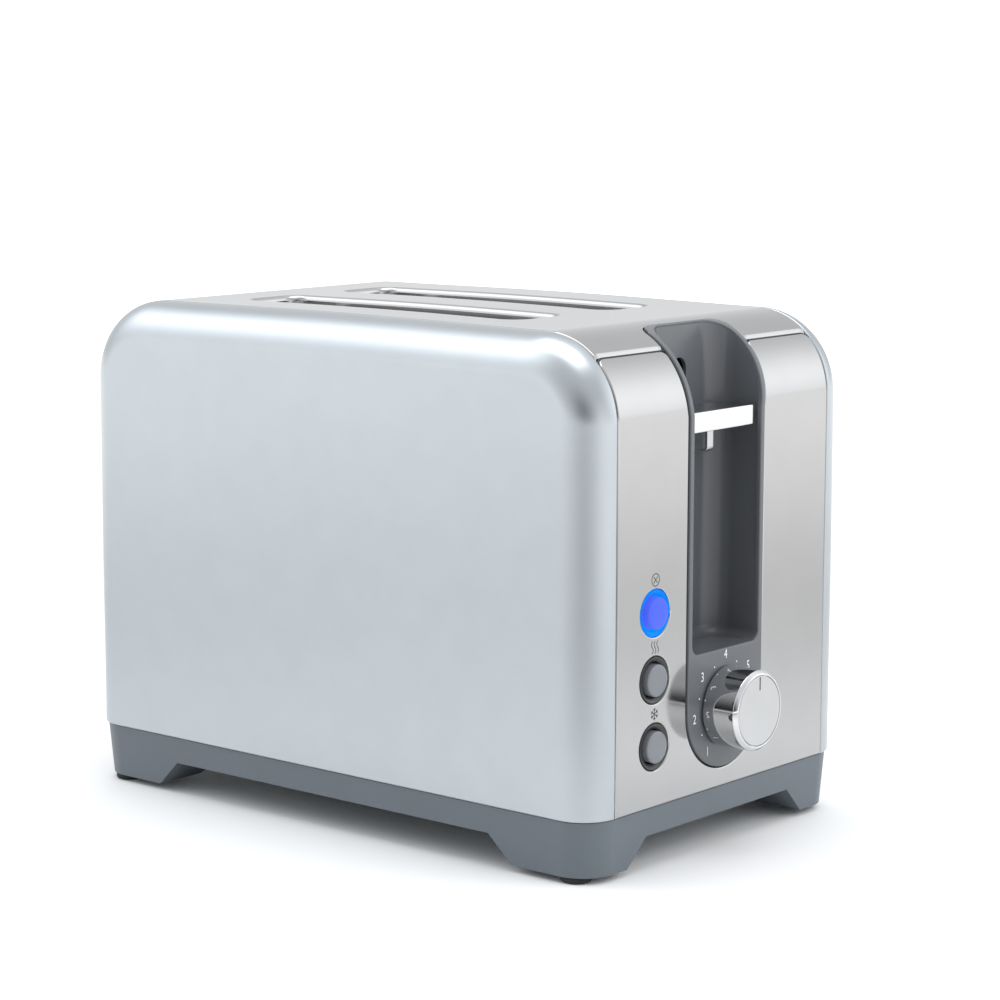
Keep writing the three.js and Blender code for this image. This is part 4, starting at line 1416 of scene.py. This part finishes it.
def floor():
    """A pale floor that takes soft shadows near the object and fades into a glow further off, with painted
    shade and a painted bright patch in that glow.
    """
    bpy.ops.object.select_all(action="DESELECT")
    bpy.ops.mesh.primitive_plane_add(size=60, location=(0, 0, -0.0002))
    ground = bpy.context.object
    ground.name = "floor"
    made, tree, shader = finish("pale_floor", (0.86, 0.865, 0.87), 0.0, 0.6)
    bumped(tree, shader, noise(tree, 200), 0.00002)
    place = tree.nodes.new("ShaderNodeTexCoord").outputs["Object"]
    fade = glow_field(tree, 1.0, place, [((0, 0, 0), 0.8, -1.35)])
    shine = tree.nodes.new("ShaderNodeEmission")
    # Painted shade and light: the glow's strength is lowered round the object and off its front near corner,
    # and raised beyond its front end.
    tree.links.new(glow_field(tree, 1.55, place, FLOOR_PAINTED_SHADE_AND_LIGHT), shine.inputs["Strength"])
    blend = tree.nodes.new("ShaderNodeMixShader")
    tree.links.new(fade, blend.inputs["Fac"])
    tree.links.new(shader.outputs["BSDF"], blend.inputs[1])
    tree.links.new(shine.outputs["Emission"], blend.inputs[2])
    tree.links.new(blend.outputs["Shader"], tree.nodes["Material Output"].inputs["Surface"])
    ground.data.materials.append(made)


def softbox(name, azimuth, elevation, distance, size, power, mirrored=True, aim=(0, 0, 0.1)):
    """A square soft light, seen from the object at an azimuth and elevation in degrees."""
    turn, rise = math.radians(azimuth), math.radians(elevation)
    back = Vector((math.sin(turn) * math.cos(rise), -math.cos(turn) * math.cos(rise), math.sin(rise)))
    lamp = bpy.data.lights.new(name, "AREA")
    lamp.shape = "RECTANGLE"
    lamp.size, lamp.size_y = size
    lamp.energy = power
    light = bpy.data.objects.new(name, lamp)
    bpy.context.scene.collection.objects.link(light)
    light.location = Vector(aim) + back * distance
    light.rotation_mode = "QUATERNION"
    light.rotation_quaternion = back.to_track_quat("Z", "Y")
    light.visible_camera = False
    light.visible_glossy = mirrored


def surroundings():
    """A pale room: white where it is the backdrop, uneven in what it lights and what metal mirrors."""
    world = bpy.data.worlds.new("room")
    bpy.context.scene.world = world
    world.use_nodes = True
    tree = world.node_tree
    sky = tree.nodes["Background"]
    way = tree.nodes.new("ShaderNodeTexCoord").outputs["Generated"]
    rays = tree.nodes.new("ShaderNodeLightPath")
    choose = tree.nodes.new("ShaderNodeMix")
    tree.links.new(rays.outputs["Is Camera Ray"], choose.inputs["Factor"])
    tree.links.new(glow_field(tree, 0.92, way, ROOM_SPOTS), choose.inputs["A"])
    choose.inputs["B"].default_value = 1.25
    tree.links.new(choose.outputs["Result"], sky.inputs["Strength"])
    sky.inputs["Color"].default_value = (0.97, 0.985, 1.0, 1)


def camera():
    """The camera, by its place and its turns in degrees."""
    azimuth, elevation, roll = math.radians(40.159), math.radians(8.689), math.radians(0.071)
    back = Vector((math.sin(azimuth) * math.cos(elevation), -math.cos(azimuth) * math.cos(elevation),
                   math.sin(elevation)))
    right = Vector((math.cos(azimuth), math.sin(azimuth), 0))
    up = back.cross(right)
    turned_right = right * math.cos(roll) + up * math.sin(roll)
    turned_up = back.cross(turned_right)
    lens = bpy.data.cameras.new("camera")
    lens.sensor_width = 36
    lens.lens = 104.456
    lens.shift_x, lens.shift_y = 0.005025, -0.002282
    eye = bpy.data.objects.new("camera", lens)
    bpy.context.scene.collection.objects.link(eye)
    eye.matrix_world = Matrix.Translation((0.78302, -0.91392, 0.31109)) @ Matrix(
        (turned_right, turned_up, back)).transposed().to_4x4()
    bpy.context.scene.camera = eye


floor()
surroundings()
softbox("overhead_softbox", 0, 88, 1.4, (1.4, 0.9), 8)
softbox("right_softbox", 105, 30, 1.6, (1.2, 1.0), 8, mirrored=False)
camera()
bpy.context.scene.view_settings.view_transform = "Standard"
